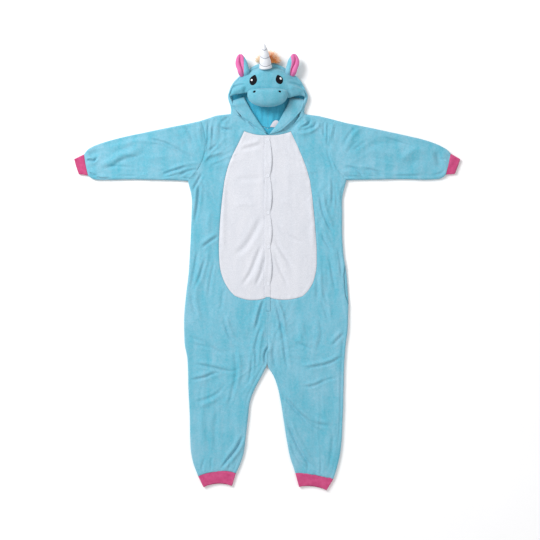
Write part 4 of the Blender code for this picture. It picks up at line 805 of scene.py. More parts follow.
class Body:
    """One half of the body: its smooth rows and the lines that its seams follow."""

    def __init__(self, top_rows, low_rows, armhole, spacing):
        table, length = body_table(top_rows, low_rows, armhole)
        armpit = len(top_rows) - 1
        bottom = len(top_rows) + BELLY_BOTTOM_LOW
        crotch = len(top_rows) + CROTCH_LOW
        corners = (BELLY_TOP, armpit, bottom, crotch)
        places = spread(length, spacing, NEAR_FREE)
        self.rows = smooth_rows(table, length, places, corners)
        self.armpit, self.bottom, self.crotch, self.top = (
            int(np.argmin(abs(places - length[k]))) for k in (armpit, bottom, crotch, BELLY_TOP))
        self.centre, self.panel, self.side = (self.rows[:, k:k + 2] for k in (0, 2, 4))
        self.spacing = spacing

    def set_back(self, low, high, depth):
        """Draw the side edge in between two heights, as at a pocket slit."""
        place = (self.side[:, 1] - low) / (high - low)
        deep = depth * np.clip(4.0 * np.minimum(place, 1.0 - place), 0.0, 1.0)
        self.side[:, 0] -= deep
        return deep

    def grid(self):
        """Plan points of every row from centre to side, and the belly's last column."""
        inner_count = round(INNER_WIDTH / self.spacing)
        outer_count = round(OUTER_WIDTH / self.spacing)
        lines = []
        for row in self.rows:
            centre, panel, side = row[0:2], row[2:4], row[4:6]
            inner, outer = np.hypot(*(panel - centre)), np.hypot(*(side - panel))
            fit = min(1.0, inner / FULL_WIDTH)
            steps = [0.0] + [n * fit for n in NEAR_FREE]
            steps += list(np.linspace(steps[-1], inner - NEAR_SEAM[-1] * fit, inner_count)[1:])
            steps += [inner - NEAR_SEAM[0] * fit, inner]
            share = np.array(steps) / inner
            first = centre + (panel - centre) * share[:, None]
            first[:, 1] -= row[6] * bow(share)
            fit = min(1.0, outer / FULL_WIDTH)
            steps = list(NEAR_SEAM * np.array(fit))
            steps += list(np.linspace(steps[-1], outer - NEAR_FREE[-1] * fit, outer_count)[1:])
            steps += [outer - n * fit for n in reversed(NEAR_FREE[:-1])] + [outer]
            share = np.array(steps) / outer
            second = panel + (side - panel) * share[:, None]
            second[:, 1] -= min(row[6], 0.0) * 0.75 * bow(share)
            lines.append(np.vstack([first, second]))
        self.panel_column = len(first) - 1
        return np.array(lines)

    def free_edges(self):
        """Lines of the shoulder, the side seam and the inseam."""
        shoulder = np.vstack([self.centre[0], self.panel[0], self.side[0]])
        return shoulder, self.side[self.armpit:], self.centre[self.crotch:]

    def seams(self):
        """Lines of the armhole, the belly's outline, and the ankle."""
        share = np.linspace(0.0, 1.0, 24)[:, None]
        ends = []
        for index in (self.top, self.bottom):
            line = self.centre[index] + (self.panel[index] - self.centre[index]) * share
            line[:, 1] -= (self.rows[index, 6] * bow(share))[:, 0]
            ends.append(line)
        belly = np.vstack([ends[0], self.panel[self.top:self.bottom + 1], ends[1][::-1]])
        ankle = self.grid()[-1]
        return self.side[:self.armpit + 1], belly, ankle


def edge_distance(lines, x, y):
    return np.min([distance_to(line, x, y) for line in lines], axis=0)


def in_belly(line, x, y):
    """Whether points are within the white panel, by its widest reach at their height."""
    order = np.argsort(line[:, 1])
    reach = np.interp(y, line[order, 1], np.abs(line[order, 0] - CENTRE_X))
    return (np.abs(x - CENTRE_X) < reach) & (y < line[:, 1].max()) & (y > line[:, 1].min())


def gathers(x, y, distance, seed):
    """Small pleats where a wide edge is sewn to a narrower rib."""
    return 1.1 * ripple(x, y * 0.15, 8.5, seed) * hump(distance, 15.0) - 1.3 * hump(distance, 5.0)


def body_height(body, x, y):
    """Outer face of the front over plan points, with seams and the rounded free edges."""
    armhole, belly, ankle = body.seams()
    height = front_height(x, y)
    sewn = distance_to(belly, x, y)
    inside = ease((sewn - 4.0) / 14.0) * np.where(in_belly(belly, x, y), 0.62, 0.0)
    height = mix(height, FLAT_TOP + 0.4 + 0.6 * FOLD_STRENGTH * folded(x, y, FRONT_FOLDS), inside)
    beside = np.where((y < PLACKET_TOP + 8) & (y > PLACKET_END - 10), abs(x - CENTRE_X), 99.0)
    height = mix(FLAT_TOP + 0.3, height, mix(0.35, 1.0, ease((beside - 9.0) / 16.0)))
    height += 0.5 * hump(sewn - 6.0, 4.0) - 0.5 * hump(sewn, 2.4)
    sleeve = distance_to(armhole, x, y)
    height += 0.3 * hump(sleeve - 7.0, 5.0) - 0.25 * hump(sleeve, 3.0)
    height += gathers(x, y, distance_to(ankle, x, y), 21)
    shoulder, side, inseam = body.free_edges()
    for line, depth, inset in ((side, 1.3, 9.0), (inseam, 1.2, 10.5)):
        away = distance_to(line, x, y)
        strength = 0.55 + 0.6 * ripple(y, y * 0.0, 55.0, 31)
        height -= depth * np.clip(strength, 0.1, 1.2) * hump(away - inset, 2.3)
    free = edge_distance((shoulder, side, inseam), x, y)
    return height, free


def make_front(side, body, outward):
    plan = body.grid()
    x, y = plan[..., 0], plan[..., 1]
    height, free = body_height(body, x, y)
    seam = MID + HALF_GAP
    top = seam + LIP + (height - seam - LIP) * quarter_round(free, EDGE_ROUND)
    low = seam + (height - CLOTH - seam) * quarter_round(np.maximum(free - 1.2, 0.0), EDGE_ROUND)
    x = x.copy()
    x[:body.crotch + 1, 0] += outward * SEAM_GAP / 2
    outer, inner = np.dstack([x, y, top]), np.dstack([x, y, low])
    column = body.panel_column
    keep = np.ones((len(x) - 1, x.shape[1] - 1), bool)
    keep[body.top:body.bottom, :column] = False
    shell("fleece_front_" + side, outer, inner, BLUE, ["front_" + side], keep=keep)
    part = slice(body.top, body.bottom + 1), slice(0, column + 1)
    belly_outer, belly_inner = outer[part].copy(), inner[part].copy()
    for grid in (belly_outer, belly_inner):
        grid[:, -1, 0] -= outward * SEAM_GAP
        grid[0, :, 1] -= SEAM_GAP
        grid[-1, :, 1] += SEAM_GAP
    shell("white_belly_" + side, belly_outer, belly_inner, WHITE, ["belly_" + side])


def make_back(side, top_rows, low_rows, armhole, outward):
    """A back panel: its neckline is straight, and its underside lies on the floor."""
    body = Body(top_rows, low_rows, armhole, 6.5)
    neck_end, neck_low = body.centre[0].copy(), np.array((CENTRE_X, 415.0))
    for index in range(body.top):
        body.centre[index] = neck_end + (neck_low - neck_end) * (index / (body.top - 1))
    body.rows[:, 6] = 0.0
    plan = body.grid()
    x, y = plan[..., 0].copy(), plan[..., 1]
    shoulder, side_line, inseam = body.free_edges()
    free = edge_distance((shoulder, side_line, inseam), x, y)
    armhole_line, _, ankle = body.seams()
    lift = back_lift(x, y)
    sewn = edge_distance((armhole_line, ankle), x, y)
    lift = np.minimum(lift, 1.9) + 0.9 * hump(sewn, 3.0)
    seam = MID - HALF_GAP
    rounding = quarter_round(free, EDGE_ROUND)
    low = mix(seam - LIP, lift, rounding)
    high = mix(seam, lift + CLOTH, quarter_round(np.maximum(free - 1.2, 0.0), EDGE_ROUND))
    x[:, 0] += np.where(np.arange(len(x)) <= body.crotch, outward * SEAM_GAP / 2, 0.0)
    # the inner side, seen in the neck's opening, gets the darker fleece as painted shade
    shell("fleece_back_" + side, np.dstack([x, y, low]), np.dstack([x, y, high]),
          BLUE, ["back_" + side], lining=BLUE_SHADED_INSIDE)


def make_pocket(body, deep):
    """The pocket bag that shows outside the slit, with the slit's own folded edge."""
    rows = np.where(deep > 0.0)[0]
    x0 = body.side[rows, 0] + 0.6
    x1 = body.side[rows, 0] + deep[rows]
    share = np.array((0.0, 0.2, 0.4, 0.6, 0.8, 1.0))
    x = x0[:, None] + (x1 - x0)[:, None] * share
    y = np.repeat(body.side[rows, 1:2], len(share), axis=1)
    top = 8.2 - 2.2 * share ** 2 + 0.3 * ripple(x, y, 9.0, 5)
    low = np.full_like(x, MID + 0.4)
    shell("pocket_bag", np.dstack([x, y, top]), np.dstack([x, y, low]), BLUE,
          ["pocket_left"], rim=0.6)


# ---------------------------------------------------------------- sleeves and cuffs
def closed_ring(upper, lower):
    """A ring from its upper and its lower layer, each x, y and z from one side to the other."""
    return np.vstack([np.column_stack(upper), np.column_stack(lower)[-2:0:-1]])


def tube_grid(sections, spacing, count, heights, near=()):
    """Outer and inner rings of a flattened tube; heights gives both faces over plan points."""
    table = np.array(sections, float)
    middle = (table[:, 0:2] + table[:, 2:4]) / 2
    length = chord(middle)
    places = spread(length, spacing)
    if near:
        places = np.array(sorted(set(places) | {length[-1] - n for n in near}))
    rows = smooth_rows(table, length, places)
    share = 0.5 - 0.5 * np.cos(np.pi * np.arange(count + 1) / count)
    outer, inner = [], []
    for place, row in zip(places, rows):
        width = np.hypot(row[2] - row[0], row[3] - row[1])
        draw = 1.0 - 2.0 * CLOTH * 0.9 / width
        x, y = section_points(row, share)
        inner_x, inner_y = section_points(row, 0.5 + (share - 0.5) * draw)
        distance = np.minimum(share, 1.0 - share) * width
        top, low = heights(x, y, distance, length[-1] - place, place, share)
        rounding = quarter_round(distance, EDGE_ROUND)
        z_top = MID + (top - MID) * rounding
        z_low = MID - (MID - low) * rounding
        in_top = MID + (top - CLOTH - MID) * rounding
        in_low = MID - np.maximum(MID - low - CLOTH, 0.3) * rounding
        outer.append(closed_ring((x, y, z_top), (x, y, z_low)))
        inner.append(closed_ring((inner_x, inner_y, in_top), (inner_x, inner_y, in_low)))
    return np.array(outer), np.array(inner)


def sleeve_heights(x, y, distance, to_cuff, from_armhole, share):
    top = front_height(x, y)
    top += 0.3 * hump(from_armhole - 7.0, 5.0) - 0.25 * hump(from_armhole, 3.0)
    top += gathers(y, x, np.full_like(x, to_cuff), 51)
    lower_edge = np.where(share > 0.5, distance, 99.0)
    band = 0.4 + 0.8 * ripple(x, x * 0.0, 60.0, 12)
    top -= np.clip(band, 0.1, 1.1) * hump(lower_edge - 11.0, 2.4)
    low = np.minimum(back_lift(x, y), 1.9) + 1.2 * hump(np.full_like(x, to_cuff), 5.0)
    return top, low


def tuck_in(grid, back):
    """Run a tube's first row on under its neighbour, so that the seam doesn't gape."""
    grid[0, :, :2] += back
    grid[0, :, 2] = mix(MID, grid[0, :, 2], TUCK_THIN)


def make_sleeve(side, sections):
    outer, inner = tube_grid(sections, 3.6, 72, sleeve_heights, NEAR_FREE)
    for grid in (outer, inner):
        back = grid[0, :, :2] - grid[1, :, :2]
        tuck_in(grid, SLEEVE_TUCK * (back / np.linalg.norm(back, axis=1, keepdims=True)))
    # the inner side, seen at the openings, gets the darker fleece as painted shade
    shell("fleece_sleeve_" + side, outer, inner, BLUE, ["sleeve_" + side],
          ring=True, lining=BLUE_SHADED_INSIDE)


def make_cuff(name, node, sections, ribs, arch):
    """A ribbed tube; its upper layer's free edge arches up, so that the inside shows."""
    first, last = np.array(sections, float)
    count = ribs * 6
    share = np.arange(count + 1) / count
    outer, inner = [], []
    width = np.hypot(*(first[2:4] - first[0:2]))
    away = (last[0:2] + last[2:4] - first[0:2] - first[2:4]) / 2
    away /= np.hypot(*away)
    for t in np.linspace(0.0, 1.0, 15):
        row = mix(first, last, t)
        wave = 0.5 + 0.5 * np.cos(2 * np.pi * ribs * share)
        distance = np.minimum(share, 1.0 - share) * width
        x, y = section_points(row, share)
        draw = arch * bow(share) * t ** 2
        swell = 0.5 * np.sin(np.pi * t) + 0.5 * ripple(x, y, 15.0, 7)
        # a slack crease runs across the upper layer
        crease = 0.44 + 0.12 * np.sin(5.0 * share + 0.6)
        swell -= 1.3 * hump(t - crease, 0.26) * np.sqrt(bow(share))
        rounding = quarter_round(distance + 0.3, 4.5)
        rib = 0.9 * (wave - 1.0)
        top = (FLAT_TOP - MID + swell - 0.5 + rib) * rounding
        low = (MID - 0.2 + rib * 0.8) * rounding
        shrink = 1.0 - 2.0 * RIB_INSET / width
        in_x, in_y = section_points(row, 0.5 + (share - 0.5) * shrink)
        in_top = np.maximum(top - RIB_CLOTH, 0.25) * rounding
        in_low = np.maximum(low - RIB_CLOTH, 0.25) * rounding
        outer.append(closed_ring((x - away[0] * draw, y - away[1] * draw, MID + top),
                                 (x, y, MID - low)))
        inner.append(closed_ring((in_x - away[0] * draw, in_y - away[1] * draw, MID + in_top),
                                 (in_x, in_y, MID - in_low)))
    outer, inner = np.array(outer), np.array(inner)
    for grid in (outer, inner):
        tuck_in(grid, -CUFF_TUCK * away)
    shell(name, outer, inner, RIB, [node], ring=True, rim=0.5)


# ---------------------------------------------------------------- draping on made pieces
class Drape:
    """Heights of the made pieces, for what lies on them."""

    def __init__(self, *pieces):
        self.trees = []
        for piece in pieces:
            points = [v.co / MM - Vector(ORIGIN_SHIFT) for v in piece.data.vertices]
            polygons = [tuple(face.vertices) for face in piece.data.polygons]
            self.trees.append(BVHTree.FromPolygons(points, polygons))

    def height(self, x, y, missing=FLAT_TOP):
        above, down = Vector((x, y, 90.0)), Vector((0, 0, -1))
        places = [tree.ray_cast(above, down)[0] for tree in self.trees]
        return max((place.z for place in places if place is not None), default=missing)

    def heights(self, x, y, missing=FLAT_TOP):
        flat = [self.height(a, b, missing) for a, b in zip(np.ravel(x), np.ravel(y))]
        return np.array(flat).reshape(np.shape(x))


def edge_shares(width, close, spacing):
    """Shares across a strip, close together near both edges."""
    count = max(2, round((width - 2 * close[-1]) / spacing))
    steps = [0.0] + list(close) + list(np.linspace(close[-1], width - close[-1], count + 1)[1:-1])
    steps += [width - n for n in reversed(close)] + [width]
    return np.array(steps) / width


def capsules(name, places, headings, length, radius, material, sides=6):
    """Many small rounded threads as one piece."""
    ring_places = ((-0.5, 0.35), (-0.3, 1.0), (0.3, 1.0), (0.5, 0.35))
    points, faces = [], []
    for place, heading in zip(places, headings):
        heading = heading / np.linalg.norm(heading)
        across = np.cross(heading, (0.0, 0.0, 1.0))
        across /= np.linalg.norm(across)
        up = np.cross(across, heading)
        start = len(points)
        for along, size in ring_places:
            for k in range(sides):
                angle = math.tau * k / sides
                spoke = (across * math.cos(angle) + up * math.sin(angle)) * radius * size
                points.append(place + heading * along * length + spoke)
        faces += rod_faces(start, len(ring_places), sides)
    add_piece(name, points, faces, material, [])


def sew(name, line, drape, material, spacing=3.4, radius=0.34, sink=0.02):
    """A row of stitches along a plan line, on the surface under it."""
    line = np.asarray(line, float)
    run = chord(line)
    marks = np.arange(spacing / 2, run[-1], spacing)
    x = np.interp(marks, run, line[:, 0])
    y = np.interp(marks, run, line[:, 1])
    ahead_x = np.interp(marks + 0.8, run, line[:, 0]) - np.interp(marks - 0.8, run, line[:, 0])
    ahead_y = np.interp(marks + 0.8, run, line[:, 1]) - np.interp(marks - 0.8, run, line[:, 1])
    size = np.maximum(np.hypot(ahead_x, ahead_y), 1e-6)
    z_here = drape.heights(x, y)
    z_ahead = drape.heights(x + ahead_x / size, y + ahead_y / size)
    slope = np.clip(z_ahead - z_here, -1.0, 1.0)
    places = np.column_stack([x, y, z_here + radius * 0.55 - sink])
    headings = np.column_stack([ahead_x / size, ahead_y / size, slope])
    capsules(name, places, headings, spacing * 0.72, radius, material)


# ---------------------------------------------------------------- placket and press studs
SNAPS = ((3.0, 381.0), (3.0, 273.0), (4.0, 162.0), (5.0, 60.0), (4.0, -51.0))
PLACKET_LEFT, PLACKET_RIGHT, SCALLOP, STRIP = -9.0, 9.5, 5.5, 2.3
TAB_LEFT, TAB_RIGHT = -4.5, 10.5


def scallop_edge(y):
    """The strip's free edge stands out between two snaps and is held in at each."""
    edge = np.full(np.shape(y), PLACKET_RIGHT)
    for (_, upper), (_, lower) in zip(SNAPS, SNAPS[1:]):
        between = (y >= lower) & (y <= upper)
        share = np.clip((y - lower) / (upper - lower), 0.0, 1.0)
        lean = share ** 0.85
        edge = np.where(between, PLACKET_RIGHT + SCALLOP * np.sin(math.pi * lean) ** 1.2, edge)
    return edge


def strip_base(x, y):
    """Top of the fronts beside the opening, which the strip lies on."""
    return mix(FLAT_TOP + 0.3, front_height(x, y), 0.35) + 0.45


def make_strip():
    """The white strip of the placket, pressed flatter at each snap and creased above it."""
    y_line = np.arange(PLACKET_TOP, PLACKET_BOTTOM - 0.1, -2.2)
    near_ends = PLACKET_TOP - 0.5, PLACKET_TOP - 1.2, PLACKET_BOTTOM + 0.5
    y_line = np.sort(np.append(y_line, near_ends))[::-1]
    right = scallop_edge(y_line)
    share = edge_shares(20.0, (0.25, 0.7, 1.4, 2.2, 3.0), 1.3)
    x = PLACKET_LEFT + (right - PLACKET_LEFT)[:, None] * share
    y = np.repeat(y_line[:, None], len(share), axis=1)
    edge = np.minimum(x - PLACKET_LEFT, right[:, None] - x)
    end = np.minimum(PLACKET_TOP - y, y - PLACKET_BOTTOM)
    distance = np.minimum(edge, end)
    base = strip_base(x, y)
    bulge = (right[:, None] - PLACKET_RIGHT) / SCALLOP
    base += 1.5 * bulge * ease((x - 1.0) / 12.0) ** 1.5
    crisp = np.zeros_like(y)
    for (_, upper), (_, lower) in zip(SNAPS, SNAPS[1:]):
        crisp += hump(y - mix(lower, upper, 0.24), 21.0)
    top = base + 0.3 + mix(0.9, STRIP - 0.3, crisp) * quarter_round(distance, mix(5.0, 2.0, crisp))
    top += 0.25 * ripple(x * 2.2, y, 17.0, 71) + 0.2 * ripple(x, y, 6.0, 72)
    top -= (0.55 * hump(x - PLACKET_LEFT - STITCH_INSET, 0.9)
            + 0.45 * hump(right[:, None] - x - SCALLOP_INSET, 0.9))
    for sx, sy in SNAPS:
        away = np.hypot(x - sx, (y - sy) * 0.8)
        top -= 1.0 * hump(away, 7.5)
        # a slanting tuck under each snap
        across = (x - sx) * 0.5 + (y - sy + 9.0) * 0.86
        along = (x - sx) * 0.86 - (y - sy + 9.0) * 0.5
        top -= 0.8 * hump(across, 1.6) * hump(along - 2.0, 7.0)
    low = np.minimum(base, top - 0.7)
    return shell("placket_strip", np.dstack([x, y, top]), np.dstack([x, y, low]), WHITE,
                 ["placket"], rim=0.4)


def make_tab():
    """The blue end of the placket, stitched down below the strip."""
    y_line = np.linspace(PLACKET_BOTTOM - 0.4, PLACKET_END, 22)
    share = edge_shares(15.0, (0.25, 0.7, 1.4, 2.2), 1.4)
    x = np.repeat(mix(TAB_LEFT, TAB_RIGHT, share)[None, :], len(y_line), axis=0)
    y = np.repeat(y_line[:, None], len(share), axis=1)
    distance = np.min((x - TAB_LEFT, TAB_RIGHT - x, PLACKET_BOTTOM - y, y - PLACKET_END), axis=0)
    base = strip_base(x, y)
    top = base + 0.3 + 0.9 * quarter_round(distance, 3.4) - 0.35 * hump(distance - 3.0, 0.8)
    top += 0.2 * ripple(x, y, 7.0, 75)
    return shell("placket_tab", np.dstack([x, y, top]), np.dstack([x, y, base]), BLUE,
                 ["placket_lower"], rim=0.4)


SNAP_PROFILE = ((0.0, 0.55), (1.3, 0.55), (1.9, 0.62), (2.3, 0.85), (3.1, 1.0), (4.0, 0.95),
                (4.6, 0.7), (4.95, 0.35), (5.0, 0.1), (4.8, -0.4), (2.6, -0.6), (0.0, -0.6))


def lathe(profile, centre, sides=36):
    """Points and faces of a turned form that begins and ends on its axis."""
    points = [(centre[0], centre[1], centre[2] + profile[0][1])]
    for radius, height in profile[1:-1]:
        for k in range(sides):
            angle = math.tau * k / sides
            points.append((centre[0] + radius * math.cos(angle),
                           centre[1] + radius * math.sin(angle), centre[2] + height))
    points.append((centre[0], centre[1], centre[2] + profile[-1][1]))
    return points, turned_faces(len(profile) - 2, sides)


def make_snaps(strip):
    drape = Drape(strip)
    for index, (x, y) in enumerate(SNAPS, start=1):
        z = max(drape.height(x + dx, y + dy) for dx in (-3, 0, 3) for dy in (-3, 0, 3)) - 0.3
        points, faces = lathe(SNAP_PROFILE, (x, y, z))
        number = str(index)
        add_piece("press_stud_" + number, points, faces, SNAP, ["snap_" + number])


# ---------------------------------------------------------------- hood
HoodRow = namedtuple("HoodRow", "back_y edge_x edge_y top_x top_y top_z")
HOOD_RIGHT = named(
    HoodRow,
    (416, -109, 457, -82, 452.5, 11.5), (438, -108, 470, -89.5, 463.5, 13.3),
    (458, -110, 485, -100, 480, 15.5), (476, -115, 500, -106, 495, 16),
    (492, -117, 513, -113, 512, 15), (507, -113, 527, -109.5, 525.5, 16),
    (520, -107, 541, -103.5, 539, 16.5), (532, -97, 556, -93.5, 553.5, 16),
    (544, -84, 569, -81, 566.5, 15.5), (556, -63, 584, -58, 580, 16),
    (566, -48, 597, -43, 589.5, 15), (574, -27, 608, -24, 596.5, 14), (580, 3, 611.5, 3, 597, 14),
)
HOOD_LEFT = named(
    HoodRow,
    (416, 114, 456, 99, 451, 12), (438, 112, 468, 103, 464, 14), (458, 115, 484, 107, 480, 15.5),
    (476, 120, 498, 112, 494, 16), (492, 122, 511, 118.5, 510, 15),
    (507, 117.5, 525, 114, 523.5, 16), (520, 111, 540, 107.5, 538, 16.5),
    (532, 103, 554, 99.5, 551.5, 16), (544, 91, 568, 87.5, 565, 15.5), (556, 67, 584, 62, 580, 16),
    (566, 51, 598, 46, 590, 15), (574, 27, 608, 24, 596.5, 14), (580, 3, 611.5, 3, 597, 14),
)
FIRST_FACE_ROW = 4
# Gathers of the hood's back where it is sewn into the neck, and the lie of its sides.
HOOD_GATHERS = make_folds(
    (5, 3.2, 1, -20, 428, -20, 462, -26, 500), (7, 2.6, -1, -38, 434, -42, 464, -44, 498),
    (8, 2.4, 1, -60, 446, -58, 470, -54, 500), (5, 3.0, -1, 14, 430, 17, 462, 16, 500),
    (5, 3.2, 1, 31, 440, 34, 466, 33, 500), (6, 2.8, -1, 48, 452, 50, 474, 47, 502),
    (4, 1.8, 1, -6, 436, -6, 470, -8, 520), (8, 2.0, 1, 70, 462, 78, 484, 76, 520),
    (8, 2.0, -1, -80, 470, -84, 500, -74, 540), (9, 1.6, 1, -40, 520, -20, 545, 0, 556),
    (9, 1.6, -1, 60, 520, 40, 545, 20, 560),
)


def hood_row_points(row):
    back, edge, top = np.array((CENTRE_X, row[0])), row[1:3], row[3:5]
    run = max(np.hypot(*(edge - back)), 1e-6)
    rise = min(17.0, 0.7 * run)
    inward = (back - edge) / run
    middle = 0.45 * row[5] + 1.0
    flat = np.concatenate([[0.0, 0.6, 1.6, 3.2], np.linspace(5.5, 100.0, 24)]) / 100.0
    path = [np.append(mix(back, edge + inward * rise, t), 0.0) for t in flat]
    for angle in np.linspace(0.0, math.pi / 2, 15)[1:]:
        place = edge + inward * rise * (1.0 - math.sin(angle))
        path.append(np.append(place, middle * (1.0 - math.cos(angle))))
    for angle in np.linspace(0.0, math.pi / 2, 11)[1:]:
        place = mix(edge, top, 1.0 - math.cos(angle))
        path.append(np.append(place, middle + (row[5] - middle) * math.sin(angle)))
    # the lip's end runs on under the face panel or the band
    tuck = (top - edge) / max(np.hypot(*(top - edge)), 1e-6)
    for further, lower in ((1.2, 0.9), (3.2, 3.0), (6.0, 5.2)):
        path.append(np.append(top + tuck * further, row[5] - lower))
    return path


def make_hood(side, rows, outward):
    table = np.array(rows, float)
    length = chord(table[:, 1:3])
    places = spread(length, 3.4, (0.5, 1.5))
    fine = smooth_rows(table, length, places)
    outer = np.array([hood_row_points(row) for row in fine])
    lying = np.clip(1.0 - outer[..., 2] / 7.0, 0.0, 1.0)
    lift = np.maximum(0.0, folded(outer[..., 0], outer[..., 1], HOOD_GATHERS)
                      + 0.5 * ripple(outer[..., 0], outer[..., 1], 24.0, 81)) * lying
    outer[..., 2] += lift
    normal = grid_normals(outer, 10)
    raised = np.clip(outer[..., 2] / 8.0, 0.0, 1.0)
    wobble = 0.7 * ripple(outer[..., 0] + outer[..., 2], outer[..., 1], 26.0, 82) * raised
    outer -= normal * wobble[..., None]
    inner = outer + normal * CLOTH
    for grid in (outer, inner):
        grid[:, 0, 0] = CENTRE_X
        clear = np.maximum if outward > 0 else np.minimum
        grid[..., 0] = clear(grid[..., 0], CENTRE_X + outward * SEAM_GAP / 2)
        grid[..., 2] = np.maximum(grid[..., 2], FLOOR_GAP)
    # the inside, seen under the face panel and the bands, gets the darker fleece as painted shade
    shell("hood_shell_" + side, outer, inner, BLUE, ["hood_" + side],
          lining=BLUE_SHADED_INSIDE)


HemRow = namedtuple("HemRow", "in_x in_y out_x out_y out_z")
HEM_RIGHT = named(
    HemRow,
    (-0.5, 400, -8, 403, 11), (-12, 417, -30.5, 417, 12), (-24, 433, -52, 434.5, 13.6),
    (-35, 450, -72, 447.5, 14.0), (-45, 465, -85, 461, 14.2), (-54, 480.5, -101, 477, 15.0),
    (-62, 495, -109, 484.5, 17.2), (-66.5, 503.5, -110, 490, 13.0), (-67.5, 511, -110, 496, 7.5),
)
HEM_LEFT = named(
    HemRow,
    (6.5, 397.5, 21, 400, 13.5), (17, 410, 39.5, 406.5, 16), (31, 428.5, 60.5, 422.5, 17.5),
    (41.5, 447, 80, 441, 17.5), (50, 463, 93, 455, 16.5), (58.5, 479, 105.5, 471, 17),
    (65, 493, 110, 483, 18), (67, 501, 111, 491.5, 16), (68, 506, 111, 497, 11),
    (68.5, 510, 110.5, 502.5, 7),
)


BAND_STITCHES = 6.5                         # from the hem's sewn edge


def make_hem(side, rows):
    """A wide folded hem, puffy between its free edge and its stitches."""
    table = np.array(rows, float)
    length = (chord(table[:, 0:2]) + chord(table[:, 2:4])) / 2
    fine = smooth_rows(table, length, spread(length, 2.6, (0.4, 1.2, 2.4)))
    top, low, seam = [], [], []
    for row in fine:
        width = np.hypot(row[2] - row[0], row[3] - row[1])
        share = edge_shares(30.0, (0.4, 1.0, 2.0, 3.2, 4.6, 6.2), 1.7)
        x, y = mix(row[0], row[2], share), mix(row[1], row[3], share)
        distance = np.minimum(share, 1.0 - share) * width
        full = quarter_round(distance, 4.2)
        middle = row[4] - 2.9 + 0.6 * (share - 0.5)
        puff = 1.2 * np.sin(math.pi * np.clip(share, 0, 1)) ** 0.8
        away = (1.0 - share) * width
        z = middle + (2.5 + puff) * full + 0.6 * ripple(x, y, 15.0, 91) * full
        z -= 1.1 * hump(away - BAND_STITCHES, 1.5)
        top.append(np.column_stack([x, y, z]))
        low.append(np.column_stack([x, y, middle - 2.3 * full]))
        seam.append(mix(row[2:4], row[0:2], BAND_STITCHES / width))
    piece = shell("hood_band_" + side, np.array(top), np.array(low), BLUE,
                  ["hood_hem_" + side], rim=0.5)
    return piece, seam


# ---------------------------------------------------------------- face
FaceRow = namedtuple("FaceRow", "middle_y middle_z")
FACE_ROWS = named(
    FaceRow,
    (528, 42), (536, 43.5), (546, 42.5), (556, 42.5), (566, 42.5), (576, 42), (584, 39.5),
    (591, 29), (596.7, 15),
)
FACE_X = 1.5
HEM_STITCHES = 21.0                         # from the free lower edge to the hem's stitches
# Lower edge of the face panel: the brim on both sides, and the muzzle's seam between them.
MOUTH_X, MOUTH_Y, MOUTH_Z = zip(
    (-113, 507, 15.5), (-108, 509.5, 18), (-103, 511.8, 20.5), (-95, 513.2, 22.5), (-87, 514, 24.5),
    (-79, 515, 26), (-71, 516.6, 28), (-60, 517.6, 30), (-52, 519.5, 33), (-34, 524, 39),
    (0, 526, 41), (34, 524, 39), (50, 514, 33), (56, 504.5, 31), (64.4, 502.3, 29),
    (74.1, 504.6, 27), (83.9, 508, 25), (93.4, 510.6, 23), (102, 511, 20.5), (109, 509, 18),
    (118.5, 504, 15.5),
)
FACE_FOLDS = make_folds(
    (3.8, -4.8, 0, -110, 525, -97, 537, -76, 542, -61, 544),
    (7, 3.0, 0, -104, 515, -84, 528, -62, 532), (3.8, -4.8, 0, 61, 550, 94, 541, 116, 527),
    (7, 2.6, 0, 62, 534, 84, 530, 106, 515), (7, -1.6, 0, -92, 548, -70, 560, -54, 566),
    (7, -1.6, 0, 96, 548, 76, 558, 62, 564), (5, -2.0, 0, -60, 536, -66, 524, -64, 512),
    (5, -2.0, 0, 60, 532, 66, 520, 66, 508), (9, 1.0, 0, -22, 552, -2, 556, 20, 551),
    (8, -0.9, 0, -14, 578, 0, 572, 16, 578), (7, 1.2, 0, -70, 574, -52, 566, -40, 574),
    (7, 1.2, 0, 76, 572, 58, 566, 44, 574),
)


def face_grid(columns=88):
    """Points of the face panel's outer side, from the lower edge to the crown."""
    table = []
    for index, middle in enumerate(FACE_ROWS):
        right = HOOD_RIGHT[min(FIRST_FACE_ROW + index, len(HOOD_RIGHT) - 2)]
        left = HOOD_LEFT[min(FIRST_FACE_ROW + index, len(HOOD_LEFT) - 2)]
        table.append((right.top_x + 0.5, right.top_y, right.top_z,
                      left.top_x - 0.5, left.top_y, left.top_z, *middle))
    table = np.array(table, float)
    length = (chord(table[:, 0:2]) + chord(table[:, 3:5]) + chord(table[:, 6:8])) / 3
    fine = smooth_rows(table, length, spread(length, 2.2, (0.5, 1.2, 2.4)))
    widest = math.pi / 2 * 0.93
    share = np.sin(np.linspace(-1.0, 1.0, columns + 1) * widest) / math.sin(widest)
    grid = []
    for row in fine:
        x = mix(row[0], row[3], (share + 1) / 2)
        side_y, side_z = mix(row[1], row[4], (share + 1) / 2), mix(row[2], row[5], (share + 1) / 2)
        dome = 1.0 - np.abs(share) ** 2.4
        grid.append(np.column_stack([x, mix(side_y, row[6], dome), mix(side_z, row[7], dome)]))
    grid = np.array(grid)
    # the first rows slide from the lower edge's own line onto the regular rows
    x = mix(MOUTH_X[0], MOUTH_X[-1], (share + 1) / 2)
    edge = np.column_stack([x, np.interp(x, MOUTH_X, MOUTH_Y), np.interp(x, MOUTH_X, MOUTH_Z)])
    edge[:, 1:] = (edge[:, 1:] + np.vstack([edge[:1, 1:], edge[:-1, 1:]])
                   + np.vstack([edge[1:, 1:], edge[-1:, 1:]])) / 3
    first = int(np.argmax(fine[:, 6] > 545.0))
    target = grid[first].copy()
    for k in range(first):
        t = k / first
        grid[k] = mix(edge, target, t)
        grid[k, :, 2] += 4.0 * np.sin(math.pi * t) * (0.25 + 0.75 * np.abs(share) ** 1.5)
    return grid


